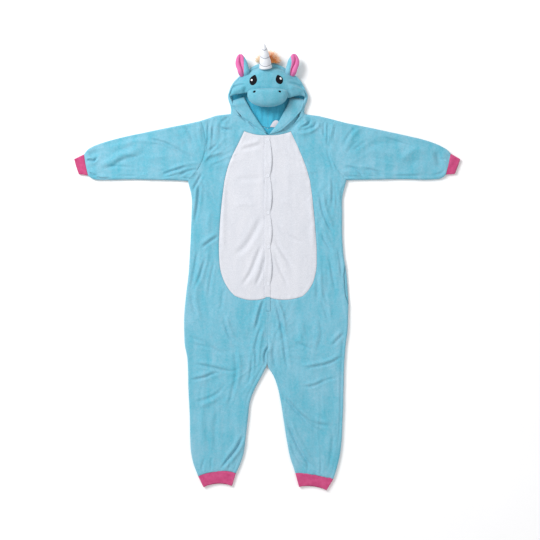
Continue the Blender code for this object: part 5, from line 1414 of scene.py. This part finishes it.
def make_face():
    grid = face_grid()
    x, y = grid[..., 0], grid[..., 1]
    grid[..., 2] += (folded(x, y, FACE_FOLDS) + 0.5 * ripple(x, y, 20.0, 95)
                     + 0.3 * ripple(x, y, 9.0, 96))
    run = np.cumsum(np.concatenate([np.zeros((1, grid.shape[1])),
                                    np.linalg.norm(np.diff(grid, axis=0), axis=2)]), axis=0)
    free = np.clip((np.abs(x - FACE_X) - 54.0) / 8.0, 0.0, 1.0)
    normal = grid_normals(grid, 40)
    # rolled hem along the free lower edge: the outer side rounds over and the inner side is deeper
    roll = free * (1.0 - quarter_round(run, 6.0))
    outer = grid - normal * (3.0 * roll)[..., None]
    hem = free * ease((26.0 - run) / 5.0)
    thick = CLOTH + 2.6 * hem - 2.4 * roll
    outer -= normal * (0.9 * free * hump(run - HEM_STITCHES, 1.6))[..., None]
    inner = outer - normal * np.maximum(thick, 0.8)[..., None]
    line = []
    for column in range(grid.shape[1]):
        if free[:, column].max() > 0.6:
            row = int(np.argmin(abs(run[:, column] - HEM_STITCHES)))
            line.append((x[row, column], y[row, column]))
    # the panel's underside, seen under the brim, gets the darker fleece as painted shade
    return shell("face_panel", outer, inner, BLUE_FACE, ["face"], rim=0.5,
                 lining=BLUE_SHADED_INSIDE), line


MUZZLE_X, MUZZLE_Y = FACE_X, 512.0
MUZZLE_HALF_X, MUZZLE_UP, MUZZLE_DOWN = 60.0, 18.5, 36.5
MUZZLE_TOP, MUZZLE_EQUATOR, MUZZLE_BOTTOM, MUZZLE_CREASE = 60.5, 38.0, 19.0, 42.5
DENTS = ((-37.0, 520.0), (38.0, 520.0))     # the cushion is drawn in at the nostrils


def muzzle_outline(angle):
    """Plan reach of the muzzle from its middle: flatter above, rounder below."""
    c, s = np.cos(angle), np.sin(angle)
    power = np.where(s > 0, 3.4, 2.15)
    depth = np.where(s > 0, MUZZLE_UP, MUZZLE_DOWN)
    return (np.abs(c / MUZZLE_HALF_X) ** power + np.abs(s / depth) ** power) ** (-1.0 / power)


def make_muzzle():
    """A stuffed cushion sewn to the face's lower edge, soft where the two meet."""
    sides = 132
    angle = np.arange(sides) * math.tau / sides
    reach = muzzle_outline(angle)
    behind = np.clip(np.sin(angle), 0.0, 1.0) ** 1.5
    equator = mix(MUZZLE_EQUATOR, MUZZLE_CREASE, behind)
    rounding = mix(2.1, 1.3, behind)
    rings = []
    turn = np.linspace(0.0, math.pi / 2, 34)[1:]
    for t in turn:
        r = math.sin(t)
        rise = (1.0 - r ** 2.3) ** (1.0 / rounding)
        z = equator + (MUZZLE_TOP - equator) * rise
        x, y = MUZZLE_X + np.cos(angle) * reach * r, MUZZLE_Y + np.sin(angle) * reach * r
        z = z + 0.6 * ripple(x, y, 21.0, 101) * rise + 0.25 * ripple(x, y, 8.0, 102) * rise
        for dent_x, dent_y in DENTS:
            z = z - 1.6 * hump(np.hypot(x - dent_x, y - dent_y), 6.0)
        rings.append(np.column_stack([x, y, z]))
    for t in turn[::-1][1:]:
        r = math.sin(t)
        z = equator - (equator - MUZZLE_BOTTOM) * (1.0 - r ** 2.3) ** (1.0 / 2.1)
        rings.append(np.column_stack([MUZZLE_X + np.cos(angle) * reach * r,
                                      MUZZLE_Y + np.sin(angle) * reach * r, z]))
    points = [(MUZZLE_X, MUZZLE_Y, MUZZLE_TOP + 0.6 * float(ripple(MUZZLE_X, MUZZLE_Y, 21.0, 101)))]
    points += np.concatenate(rings).tolist() + [(MUZZLE_X, MUZZLE_Y, MUZZLE_BOTTOM)]
    faces = turned_faces(len(rings), sides)
    return add_piece("muzzle_cushion", points, faces, BLUE_FACE, ["muzzle"])


# ---------------------------------------------------------------- stitched eyes and nostrils
Spot = namedtuple("Spot", "x y half_x half_y lean point")
EYES = (Spot(-40.4, 555.6, 11.2, 16.2, 0.30, 0.46), Spot(36.4, 557, 10.9, 14.4, -0.34, 0.46))
GLINTS = (Spot(-45.2, 555.4, 2.9, 3.0, 0, 0), Spot(40.8, 559.6, 2.7, 3.8, -0.6, 0))
NOSTRILS = (Spot(-37.4, 519, 4.6, 3.2, -0.5, 0), Spot(38, 519.4, 4.2, 2.9, 0.4, 0))


def spot_reach(spot, angle, scale=1.0):
    """Plan points round a leaning oval that narrows towards its upper end."""
    x, y = np.cos(angle), np.sin(angle)
    narrow = 1.0 - spot.point * np.maximum(0.0, y) ** 1.5
    local_x, local_y = x * narrow * spot.half_x * scale, y * spot.half_y * scale
    c, s = math.cos(-spot.lean), math.sin(-spot.lean)
    return spot.x + local_x * c - local_y * s, spot.y + local_x * s + local_y * c


def make_spot(name, spot, drape, rise, material, node, sides=56, rings=9):
    """A padded patch of stitches that follows the surface it lies on."""
    angle = np.arange(sides) * math.tau / sides
    base = drape.height(spot.x, spot.y)
    points = [(spot.x, spot.y, base + rise)]
    for k in range(1, rings + 1):
        scale = k / rings
        x, y = spot_reach(spot, angle, scale)
        z = drape.heights(x, y, base)
        edge = (1.0 - scale) * min(spot.half_x, spot.half_y)
        z = z + 0.12 + rise * quarter_round(edge, 1.6)
        points += np.column_stack([x, y, z]).tolist()
    x, y = spot_reach(spot, angle, 0.985)
    points += np.column_stack([x, y, drape.heights(x, y, base) - 0.35]).tolist()
    points.append((spot.x, spot.y, base - 0.35))
    return add_piece(name, points, turned_faces(rings + 1, sides), material, [node])


# ---------------------------------------------------------------- ears
EarRow = namedtuple("EarRow", "y centre_x width lift crease pink")
EAR_RIGHT = named(
    EarRow,
    (567.5, -68.6, 7.0, 11.5, -0.5, -0.5), (571, -68.9, 11.0, 14.5, -0.5, -0.6),
    (575, -69.3, 13.8, 18.5, -0.2, -1.2), (580, -69.9, 15.6, 21.8, 0.3, -2.2),
    (587, -70.6, 16.4, 23.0, 0.8, -3.0), (598.7, -74.0, 17.4, 22.0, 1.5, -6.0),
    (607.7, -75.9, 16.8, 21.5, 2.2, -8.0), (614.6, -76.8, 15.0, 21.5, 2.6, -9.5),
    (621.5, -77.8, 12.0, 22.0, 2.2, -12.0), (627.5, -78.6, 8.6, 23.0, 1.5, -15.0),
    (631.3, -79.0, 5.4, 24.0, 0.5, -16.0), (633.6, -79.2, 2.2, 25.0, 0.0, -16.0),
)
EAR_LEFT = named(
    EarRow,
    (568.5, 69.8, 7.0, 11.5, -2.5, -2.0), (572, 70.2, 11.0, 14.5, -2.5, -2.0),
    (576, 70.8, 13.8, 18.5, -2.2, -2.3), (581, 71.6, 15.6, 21.8, -1.4, -2.9),
    (588, 72.6, 16.4, 23.0, -0.6, -3.5), (599.5, 76.4, 17.0, 22.0, 1.6, -5.5),
    (609.2, 78.4, 16.6, 21.5, 3.8, -7.0), (616.2, 79.2, 15.0, 21.5, 5.2, -8.5),
    (622.6, 80.0, 12.0, 22.0, 5.6, -12.0), (628.4, 80.2, 8.6, 23.0, 4.0, -15.0),
    (632.2, 80.4, 5.4, 24.0, 1.5, -16.0), (634.4, 80.4, 2.2, 25.0, 0.0, -16.0),
)
# Section of an ear from its outer edge, across the crease, to the edge beside the crown.
EAR_SECTION = np.array((
    (17.4, 2.0), (17.2, 4.0), (15.6, 6.2), (12.4, 7.8), (8.8, 8.4), (6.4, 7.6), (4.6, 4.6),
    (3.2, -0.4), (1.7, -5.6), (0.2, -0.4), (-1.2, 4.8), (-3.0, 8.2), (-5.4, 9.4), (-9.0, 9.8),
    (-12.6, 8.6), (-15.4, 6.2), (-17.0, 3.2), (-17.4, 0.8)))
EAR_RUN = chord(EAR_SECTION)
EAR_HALF = 17.4


def ear_section(row, mirror, shares):
    """Points across one row of an ear at shares of its section's length."""
    fine = smooth_rows(EAR_SECTION, EAR_RUN, shares * EAR_RUN[-1])
    across, height = fine[:, 0] + row[4] * hump(fine[:, 0] - 1.7, 9.0), fine[:, 1]
    size = row[2] / EAR_HALF
    return np.column_stack([row[1] + mirror * across * size, np.full(len(shares), row[0]),
                            row[3] + height * mix(0.45, 1.0, size)])


def make_ear(side, rows, mirror):
    table = np.array(rows, float)
    length = table[:, 0] - table[0, 0]
    fine = smooth_rows(table, length, spread(length, 2.0))
    shares = np.linspace(0.0, 1.0, 73)
    middle = np.array([ear_section(row, mirror, shares) for row in fine])
    normal = grid_normals(middle, 12)
    thin = mix(0.5, 1.0, ease(fine[:, 2] / 12.0))[:, None, None]
    puff = 0.35 * ripple(middle[..., 0], middle[..., 1], 9.0, 111)
    outer = middle - normal * (EAR_CLOTH * thin + puff[..., None])
    inner = middle + normal * EAR_CLOTH * thin
    shell("ear_shell_" + side, outer, inner, BLUE, ["ear_" + side], rim=0.5)
    # the lining runs from just inside the outer edge to its own edge, row by row
    across = smooth_rows(EAR_SECTION, EAR_RUN, shares * EAR_RUN[-1])[:, 0]
    base, face = [], []
    for index in range(1, len(fine)):
        last = float(np.interp(-fine[index, 5], -across, shares))
        steps = mix(0.035, last, edge_shares(30.0, (0.6, 1.4, 2.6), 0.8))
        low = np.column_stack([np.interp(steps, shares, inner[index, :, k]) for k in range(3)])
        up = np.column_stack([np.interp(steps, shares, normal[index, :, k]) for k in range(3)])
        edge = np.minimum(steps - steps[0], steps[-1] - steps) * EAR_RUN[-1]
        thick = 0.25 + 0.75 * quarter_round(edge, 2.2) * thin[index, 0, 0]
        base.append(low + up * 0.1)
        face.append(low + up * thick[:, None])
    shell("ear_lining_" + side, np.array(base), np.array(face), EAR_PINK,
          ["ear_inner_" + side], rim=0.2)


# ---------------------------------------------------------------- horn
HORN_BASE = np.array((-3.8, 591.0, 32.4))
HORN_TILT, HORN_TURN = math.radians(21.0), math.radians(4.6)
HORN_LENGTH, HORN_RADIUS = 75.0, 19.9
HORN_TURNS = (0.0, 1.0, 2.0, 3.0, 4.0)
HORN_SHARES = (-0.16, 0.122, 0.43, 0.745, 1.12)      # where each turn passes the upper side
WINDING_LEAN = 0.80                                 # 0 rises evenly, 1 rises underneath only
WINDING_SAG = 0.20                                  # how far a turn dips on the upper side


def horn_frame():
    axis = np.array((-math.sin(HORN_TURN) * math.cos(HORN_TILT),
                     math.cos(HORN_TURN) * math.cos(HORN_TILT), math.sin(HORN_TILT)))
    across = np.cross(axis, (0.0, 0.0, 1.0))
    across /= np.linalg.norm(across)
    return axis, across, np.cross(across, axis)


def wound(angle):
    """Share of a turn that the thread has risen at an angle, counted from the upper side."""
    part = angle / math.tau - 0.25
    part = part - np.floor(part)
    sag = WINDING_SAG * np.abs(np.cos(angle)) ** 1.5
    return part - WINDING_LEAN * np.sin(math.tau * part) / math.tau + sag


def horn_point(share, angle, out=0.0):
    """A point of the horn: puffed between the turns of a thread wound up it as a helix."""
    axis, across, up = horn_frame()
    phase = np.interp(share, HORN_SHARES, HORN_TURNS) - wound(angle)
    phase = phase - np.floor(phase)
    puff = np.sin(math.pi * phase) ** 0.6
    radius = HORN_RADIUS * (1.0 - share) ** 0.52 * (0.95 + 0.055 * puff)
    radius = radius * (1.0 - 0.20 * hump(share + 0.015, 0.03))
    uneven = 0.35 * ripple(angle * 6.0, share * 74.0, 7.0, 121) * (1.0 - share) ** 1.5
    radius = radius + uneven + out
    centre = HORN_BASE + np.multiply.outer(share, axis) * HORN_LENGTH
    spoke = np.multiply.outer(np.cos(angle), across) + np.multiply.outer(np.sin(angle), up)
    return centre + spoke * np.asarray(radius)[..., None]


def make_horn():
    sides = 72
    angle = np.arange(sides) * math.tau / sides
    shares = np.concatenate([np.linspace(0.0, 0.97, 110), (0.98, 0.988, 0.994, 0.998)])
    rings = [horn_point(np.full(sides, share), angle) for share in shares]
    axis, _, _ = horn_frame()
    points = [tuple(HORN_BASE - axis * 0.8)] + np.concatenate(rings).tolist()
    points.append(tuple(HORN_BASE + axis * HORN_LENGTH))
    add_piece("horn_cushion", points, turned_faces(len(rings), sides), HORN, ["horn"])
    # the thread lies in the groove between two turns
    turns = np.linspace(0.0, 3.9, 620)
    angle = (turns % 1.0) * math.tau + math.pi / 2
    share = np.interp(np.floor(turns) + wound(angle), HORN_TURNS, HORN_SHARES)
    seen = (share > 0.015) & (share < 0.80)
    line = horn_point(share[seen], angle[seen], 0.05)
    tube("horn_thread", line, 0.7, HORN_THREAD, 7)


def tube(name, line, radius, material, sides=8):
    """A round thread along a line of points, its ends closed."""
    line = np.asarray(line, float)
    ahead = np.gradient(line, axis=0)
    ahead /= np.linalg.norm(ahead, axis=1, keepdims=True)
    side = np.cross(ahead, (0.0, 0.0, 1.0))
    side /= np.maximum(np.linalg.norm(side, axis=1, keepdims=True), 1e-9)
    up = np.cross(side, ahead)
    angle = np.arange(sides) * math.tau / sides
    rings = line[:, None] + radius * (side[:, None] * np.cos(angle)[None, :, None]
                                      + up[:, None] * np.sin(angle)[None, :, None])
    faces = rod_faces(0, len(line), sides)
    add_piece(name, rings.reshape(-1, 3), faces, material, [])


# ---------------------------------------------------------------- mane
Tuft = namedtuple("Tuft", "x0 x1 angle0 angle1 length0 length1 count")
ORANGE_TUFT = Tuft(5.0, 20.0, 97, 4, 41, 23, 520)
CREAM_TUFT = Tuft(-24.0, -8.0, 160, 112, 14, 36, 130)
TUFT_Y, TUFT_Z = (610.5, 614.5), (4.0, 13.0)


def tuft_backing(tuft):
    """Points and faces of the narrow bed that a tuft's strands come out of."""
    x_line = np.linspace(tuft.x0 - 0.5, tuft.x1 + 0.5, 9)
    share = np.linspace(0.0, 1.0, 7)
    low, top = (np.array([[(x, mix(*TUFT_Y, t), z + swell * math.sin(math.pi * t)) for t in share]
                          for x in x_line]) for z, swell in zip(TUFT_Z, (-0.6, 1.2)))
    return shell_mesh(top, low, rim=0.8)[:2]


def make_tuft(name, tuft, material, tips, node, seed):
    """A narrow backing with many tapering strands that fan out of it, paler at their tips."""
    rng = random.Random(seed)
    points, faces, pale = [], [], []
    for _ in range(tuft.count):
        share = rng.random()
        level = rng.random()
        root = np.array((mix(tuft.x0, tuft.x1, share), TUFT_Y[1] - 1.5, mix(*TUFT_Z, level)))
        heading = math.radians(mix(tuft.angle0, tuft.angle1, share) + rng.gauss(0.0, 9.0))
        rise = math.radians(mix(-4.0, 34.0, level) + rng.gauss(0.0, 6.0))
        length = mix(tuft.length0, tuft.length1, share) * rng.uniform(0.62, 1.06)
        ahead = np.array((math.cos(heading) * math.cos(rise), math.sin(heading) * math.cos(rise),
                          math.sin(rise)))
        curl = np.array((rng.gauss(0.0, 0.10), rng.gauss(0.0, 0.10), rng.gauss(-0.10, 0.08)))
        width = rng.uniform(0.45, 0.8)
        turned = rng.uniform(0.0, math.tau)
        start = len(points)
        for step, size in ((0.0, 1.0), (0.3, 1.1), (0.6, 0.8), (0.85, 0.45)):
            place = root + ahead * length * step + curl * length * step ** 2
            place = np.array((place[0], place[1], max(place[2], 0.9)))
            side = np.cross(ahead, (0.0, 0.0, 1.0))
            up = np.cross(side, ahead)
            for k in range(3):
                angle = turned + math.tau * k / 3
                spoke = (side * math.cos(angle) + up * math.sin(angle)) * width * size
                points.append(place + spoke)
        tip = root + ahead * length + curl * length
        points.append(np.array((tip[0], tip[1], max(tip[2], 0.6))))
        faces += ring_quads(start, 4, 3)
        faces += [[start + 9 + k, start + 9 + (k + 1) % 3, start + 12] for k in range(3)]
        pale += range(len(faces) - (6 if rng.random() < 0.6 else 3), len(faces))
        faces.append([start + 2, start + 1, start])
    bed_points, bed_faces = tuft_backing(tuft)
    faces += [[i + len(points) for i in face] for face in bed_faces]
    points += list(bed_points)
    piece = add_piece(name, points, faces, material, [node], smooth=False)
    piece.data.materials.append(tips)
    for index in pale:
        piece.data.polygons[index].material_index = 1


# ---------------------------------------------------------------- label
def make_label():
    """A bare tape loop sewn into the neck seam: two layers joined by a soft fold."""
    start, away, across = np.array((18.6, 419.0)), np.array((0.45, 0.89)), np.array((1.0, -0.12))
    share = edge_shares(20.0, (0.4, 1.0, 2.0), 1.2)
    loop = np.concatenate([np.linspace(0, 0.94, 22), (0.965, 0.985, 0.996, 1.0)])
    rows = []
    for t in np.concatenate([loop, loop[::-1][1:]]):
        upper = len(rows) < len(loop)
        half = 9.8 - 1.8 * t
        side = (share * 2.0 - 1.0)
        # the far corners are rounded
        reach = 22.5 * t - 5.5 * t ** 3 * np.abs(side) ** 3
        plan = start + np.outer(side * half, across) + np.outer(reach, away)
        curl = 2.6 * t ** 2 + 1.2 * t * share ** 2 + 0.4 * np.sin(4.0 * share) * t
        lift = (3.9 + 1.3 * math.sin(math.pi * t * 0.8) if upper
                else 3.5 + 0.4 * math.sin(math.pi * t))
        rows.append(np.column_stack([plan, lift + curl]))
    grid = np.array(rows)
    normal = grid_normals(grid)
    shell("neck_label", grid + normal * 0.2, grid - normal * 0.2, LABEL,
          ["care_label"], rim=0.1)


# ---------------------------------------------------------------- build
SIDES = (("right", -1.0), ("left", 1.0))
OUTLINES = ((TOP_RIGHT, LOW_RIGHT, SLEEVE_RIGHT), (TOP_LEFT, LOW_LEFT, SLEEVE_LEFT))
for (side, outward), (top_rows, low_rows, sleeve) in zip(SIDES, OUTLINES):
    make_back(side, top_rows, low_rows, sleeve[0], outward)
    body = Body(top_rows, low_rows, sleeve[0], FINE)
    if side == "left":
        deep = body.set_back(POCKET_BOTTOM, POCKET_TOP, POCKET_SET_BACK)
        make_pocket(body, deep)
    make_front(side, body, outward)
    make_sleeve(side, sleeve)
for (side, _), wrist in zip(SIDES, (WRIST_RIGHT, WRIST_LEFT)):
    make_cuff("rib_wrist_" + side, "wrist_cuff_" + side, wrist, 22, 2.5)
for (side, _), ankle in zip(SIDES, (ANKLE_RIGHT, ANKLE_LEFT)):
    make_cuff("rib_ankle_" + side, "ankle_cuff_" + side, ankle, 38, 3.0)
strip, tab = make_strip(), make_tab()
make_snaps(strip)
make_hood("right", HOOD_RIGHT, -1.0)
make_hood("left", HOOD_LEFT, 1.0)
bands = [make_hem("right", HEM_RIGHT), make_hem("left", HEM_LEFT)]
face, brim_line = make_face()
muzzle = make_muzzle()
face_drape, muzzle_drape = Drape(face), Drape(muzzle)
for (side, _), eye, glint, nostril in zip(SIDES, EYES, GLINTS, NOSTRILS):
    patch = make_spot("eye_patch_" + side, eye, face_drape, 1.0, EYE, "eye_" + side)
    make_spot("nostril_patch_" + side, nostril, muzzle_drape, 0.7, EYE,
              "nostril_" + side, 28, 5)
    make_spot("eye_glint_" + side, glint, Drape(patch), 0.55, GLINT,
              "glint_" + side, 28, 5)
make_ear("right", EAR_RIGHT, -1.0)
make_ear("left", EAR_LEFT, 1.0)
make_horn()
make_tuft("mane_tuft_orange", ORANGE_TUFT, ORANGE, ORANGE_TIPS, "mane_orange", 5)
make_tuft("mane_tuft_cream", CREAM_TUFT, CREAM, CREAM, "mane_cream", 9)
make_label()

# ---------------------------------------------------------------- stitches
strip_drape = Drape(strip)
y_line = np.linspace(PLACKET_TOP - 2.5, PLACKET_BOTTOM + 2.5, 160)
for side, x_line in (("right", np.full(160, PLACKET_LEFT + STITCH_INSET)),
                     ("left", scallop_edge(y_line) - SCALLOP_INSET)):
    sew("stitches_placket_" + side, np.column_stack([x_line, y_line]), strip_drape, WHITE_THREAD)
left, right = TAB_LEFT + STITCH_INSET, TAB_RIGHT - STITCH_INSET
upper, lower = PLACKET_BOTTOM - STITCH_INSET, PLACKET_END + STITCH_INSET
sew("stitches_tab", ((left, upper), (right, upper), (right, lower), (left, lower), (left, upper)),
    Drape(tab), BLUE_THREAD, 3.0, 0.3)
for (side, _), (band, seam) in zip(SIDES, bands):
    sew("stitches_band_" + side, seam, Drape(band), BLUE_THREAD)
for side, sign in SIDES:
    line = [p for p in brim_line if (p[0] - FACE_X) * sign > 0]
    sew("stitches_brim_" + side, line, face_drape, BLUE_THREAD)

# ---------------------------------------------------------------- floor, light and camera
FLOOR_HALF, FLOOR_Z = 6, -0.0006            # in metres
floor_mesh = bpy.data.meshes.new("floor")
corners = ((-1, -1), (1, -1), (1, 1), (-1, 1))
floor_mesh.from_pydata([(FLOOR_HALF * x, FLOOR_HALF * y, FLOOR_Z) for x, y in corners], [],
                       [(0, 1, 2, 3)])
floor = bpy.data.objects.new("floor", floor_mesh)
bpy.context.scene.collection.objects.link(floor)
paper = Paint("paper", 0.8, 0.0, 0.2)
paper.colour(paper.blend(paper.noise(180.0), linear(248, 248, 249), linear(252, 252, 253)))
floor_mesh.materials.append(paper.material)

world = bpy.data.worlds.new("studio")
bpy.context.scene.world = world
world.use_nodes = True
background = world.node_tree.nodes["Background"]
background.inputs["Color"].default_value = (1.0, 1.0, 1.0, 1.0)
background.inputs["Strength"].default_value = WORLD_LIGHT


def area_light(name, place, size, power):
    light = bpy.data.lights.new(name, "AREA")
    light.shape = "RECTANGLE"
    light.size, light.size_y = size
    light.energy = power
    lamp = bpy.data.objects.new(name, light)
    lamp.location = place
    lamp.rotation_euler = (-Vector(place)).to_track_quat("-Z", "Y").to_euler()
    bpy.context.scene.collection.objects.link(lamp)


area_light("key", (-2.45, 2.15, 2.75), (1.8, 1.8), KEY_POWER)
area_light("fill", (2.4, -1.8, 3.2), (3.0, 3.0), FILL_POWER)

lens = bpy.data.cameras.new("camera")
lens.sensor_width = SENSOR
lens.lens = SENSOR * CAMERA_HEIGHT / VIEW_WIDTH
lens.clip_end = 50.0
camera = bpy.data.objects.new("camera", lens)
camera.location = Vector((CAMERA_X, CAMERA_Y, CAMERA_HEIGHT)) * MM + Vector(ORIGIN_SHIFT) * MM
bpy.context.scene.collection.objects.link(camera)
bpy.context.scene.camera = camera
bpy.context.scene.view_settings.view_transform = "Standard"

# ---------------------------------------------------------------- cuts of the cloth pieces
# Each cut as it shows, without seam allowances: width, length and area in metres.
Cut = namedtuple("Cut", "piece width length area held rests_on goes_with")
CUTS = named(
    Cut,
    ("fleece_back_right", 0.255, 1.090, 0.227, "laid", (), ()),
    ("fleece_back_left", 0.248, 1.097, 0.223, "laid", (), ()),
    ("fleece_front_right", 0.256, 1.092, 0.171, "laid", ("fleece_back_right",), ()),
    ("fleece_front_left", 0.249, 1.099, 0.166, "laid", ("fleece_back_left", "pocket_bag"), ()),
    ("white_belly_right", 0.149, 0.510, 0.065, "laid", ("fleece_back_right",), ()),
    ("white_belly_left", 0.148, 0.508, 0.064, "laid", ("fleece_back_left",), ()),
    ("fleece_sleeve_*", 0.345, 0.368, 0.099, "laid", ("fleece_back_*",), ()),
    ("pocket_bag", 0.013, 0.115, 0.0008, "laid", ("fleece_back_left",), ()),
    ("rib_wrist_*", 0.124, 0.032, None, "gathered", ("fleece_sleeve_*",), ()),
    ("rib_ankle_*", 0.224, 0.041, None, "gathered", ("fleece_back_*",), ()),
    ("placket_strip", 0.024, 0.482, 0.0108, "laid", ("white_belly_right", "white_belly_left"),
     ("stitches_placket_right", "stitches_placket_left")),
    ("placket_tab", 0.015, 0.0415, None, "laid", ("fleece_front_right", "fleece_front_left"),
     ("stitches_tab",)),
    ("hood_shell_right", 0.140, 0.200, 0.0221, "folded", ("fleece_back_right",),
     ("mane_tuft_cream",)),
    ("hood_shell_left", 0.140, 0.200, 0.0216, "folded", ("fleece_back_left",),
     ("mane_tuft_orange",)),
    ("hood_band_right", 0.035, 0.145, 0.0043, "folded", ("hood_shell_right",),
     ("stitches_band_right",)),
    ("hood_band_left", 0.040, 0.150, 0.0051, "folded", ("hood_shell_left",),
     ("stitches_band_left",)),
    ("face_panel", 0.240, 0.110, 0.0165, "laid", ("hood_shell_right", "hood_shell_left"),
     ("stitches_brim_right", "stitches_brim_left", "nostril_patch_right", "nostril_patch_left")),
    ("eye_patch_right", 0.023, 0.033, 0.00058, "laid", ("face_panel",), ("eye_glint_right",)),
    ("eye_patch_left", 0.022, 0.029, 0.00049, "laid", ("face_panel",), ("eye_glint_left",)),
    ("ear_shell_*", 0.064, 0.074, 0.0045, "folded", ("hood_shell_*",), ()),
    ("ear_lining_*", 0.052, 0.069, 0.0034, "folded", ("ear_shell_*",), ()),
    ("neck_label", 0.0196, 0.045, 0.00078, "folded", ("fleece_back_left",), ()),
)
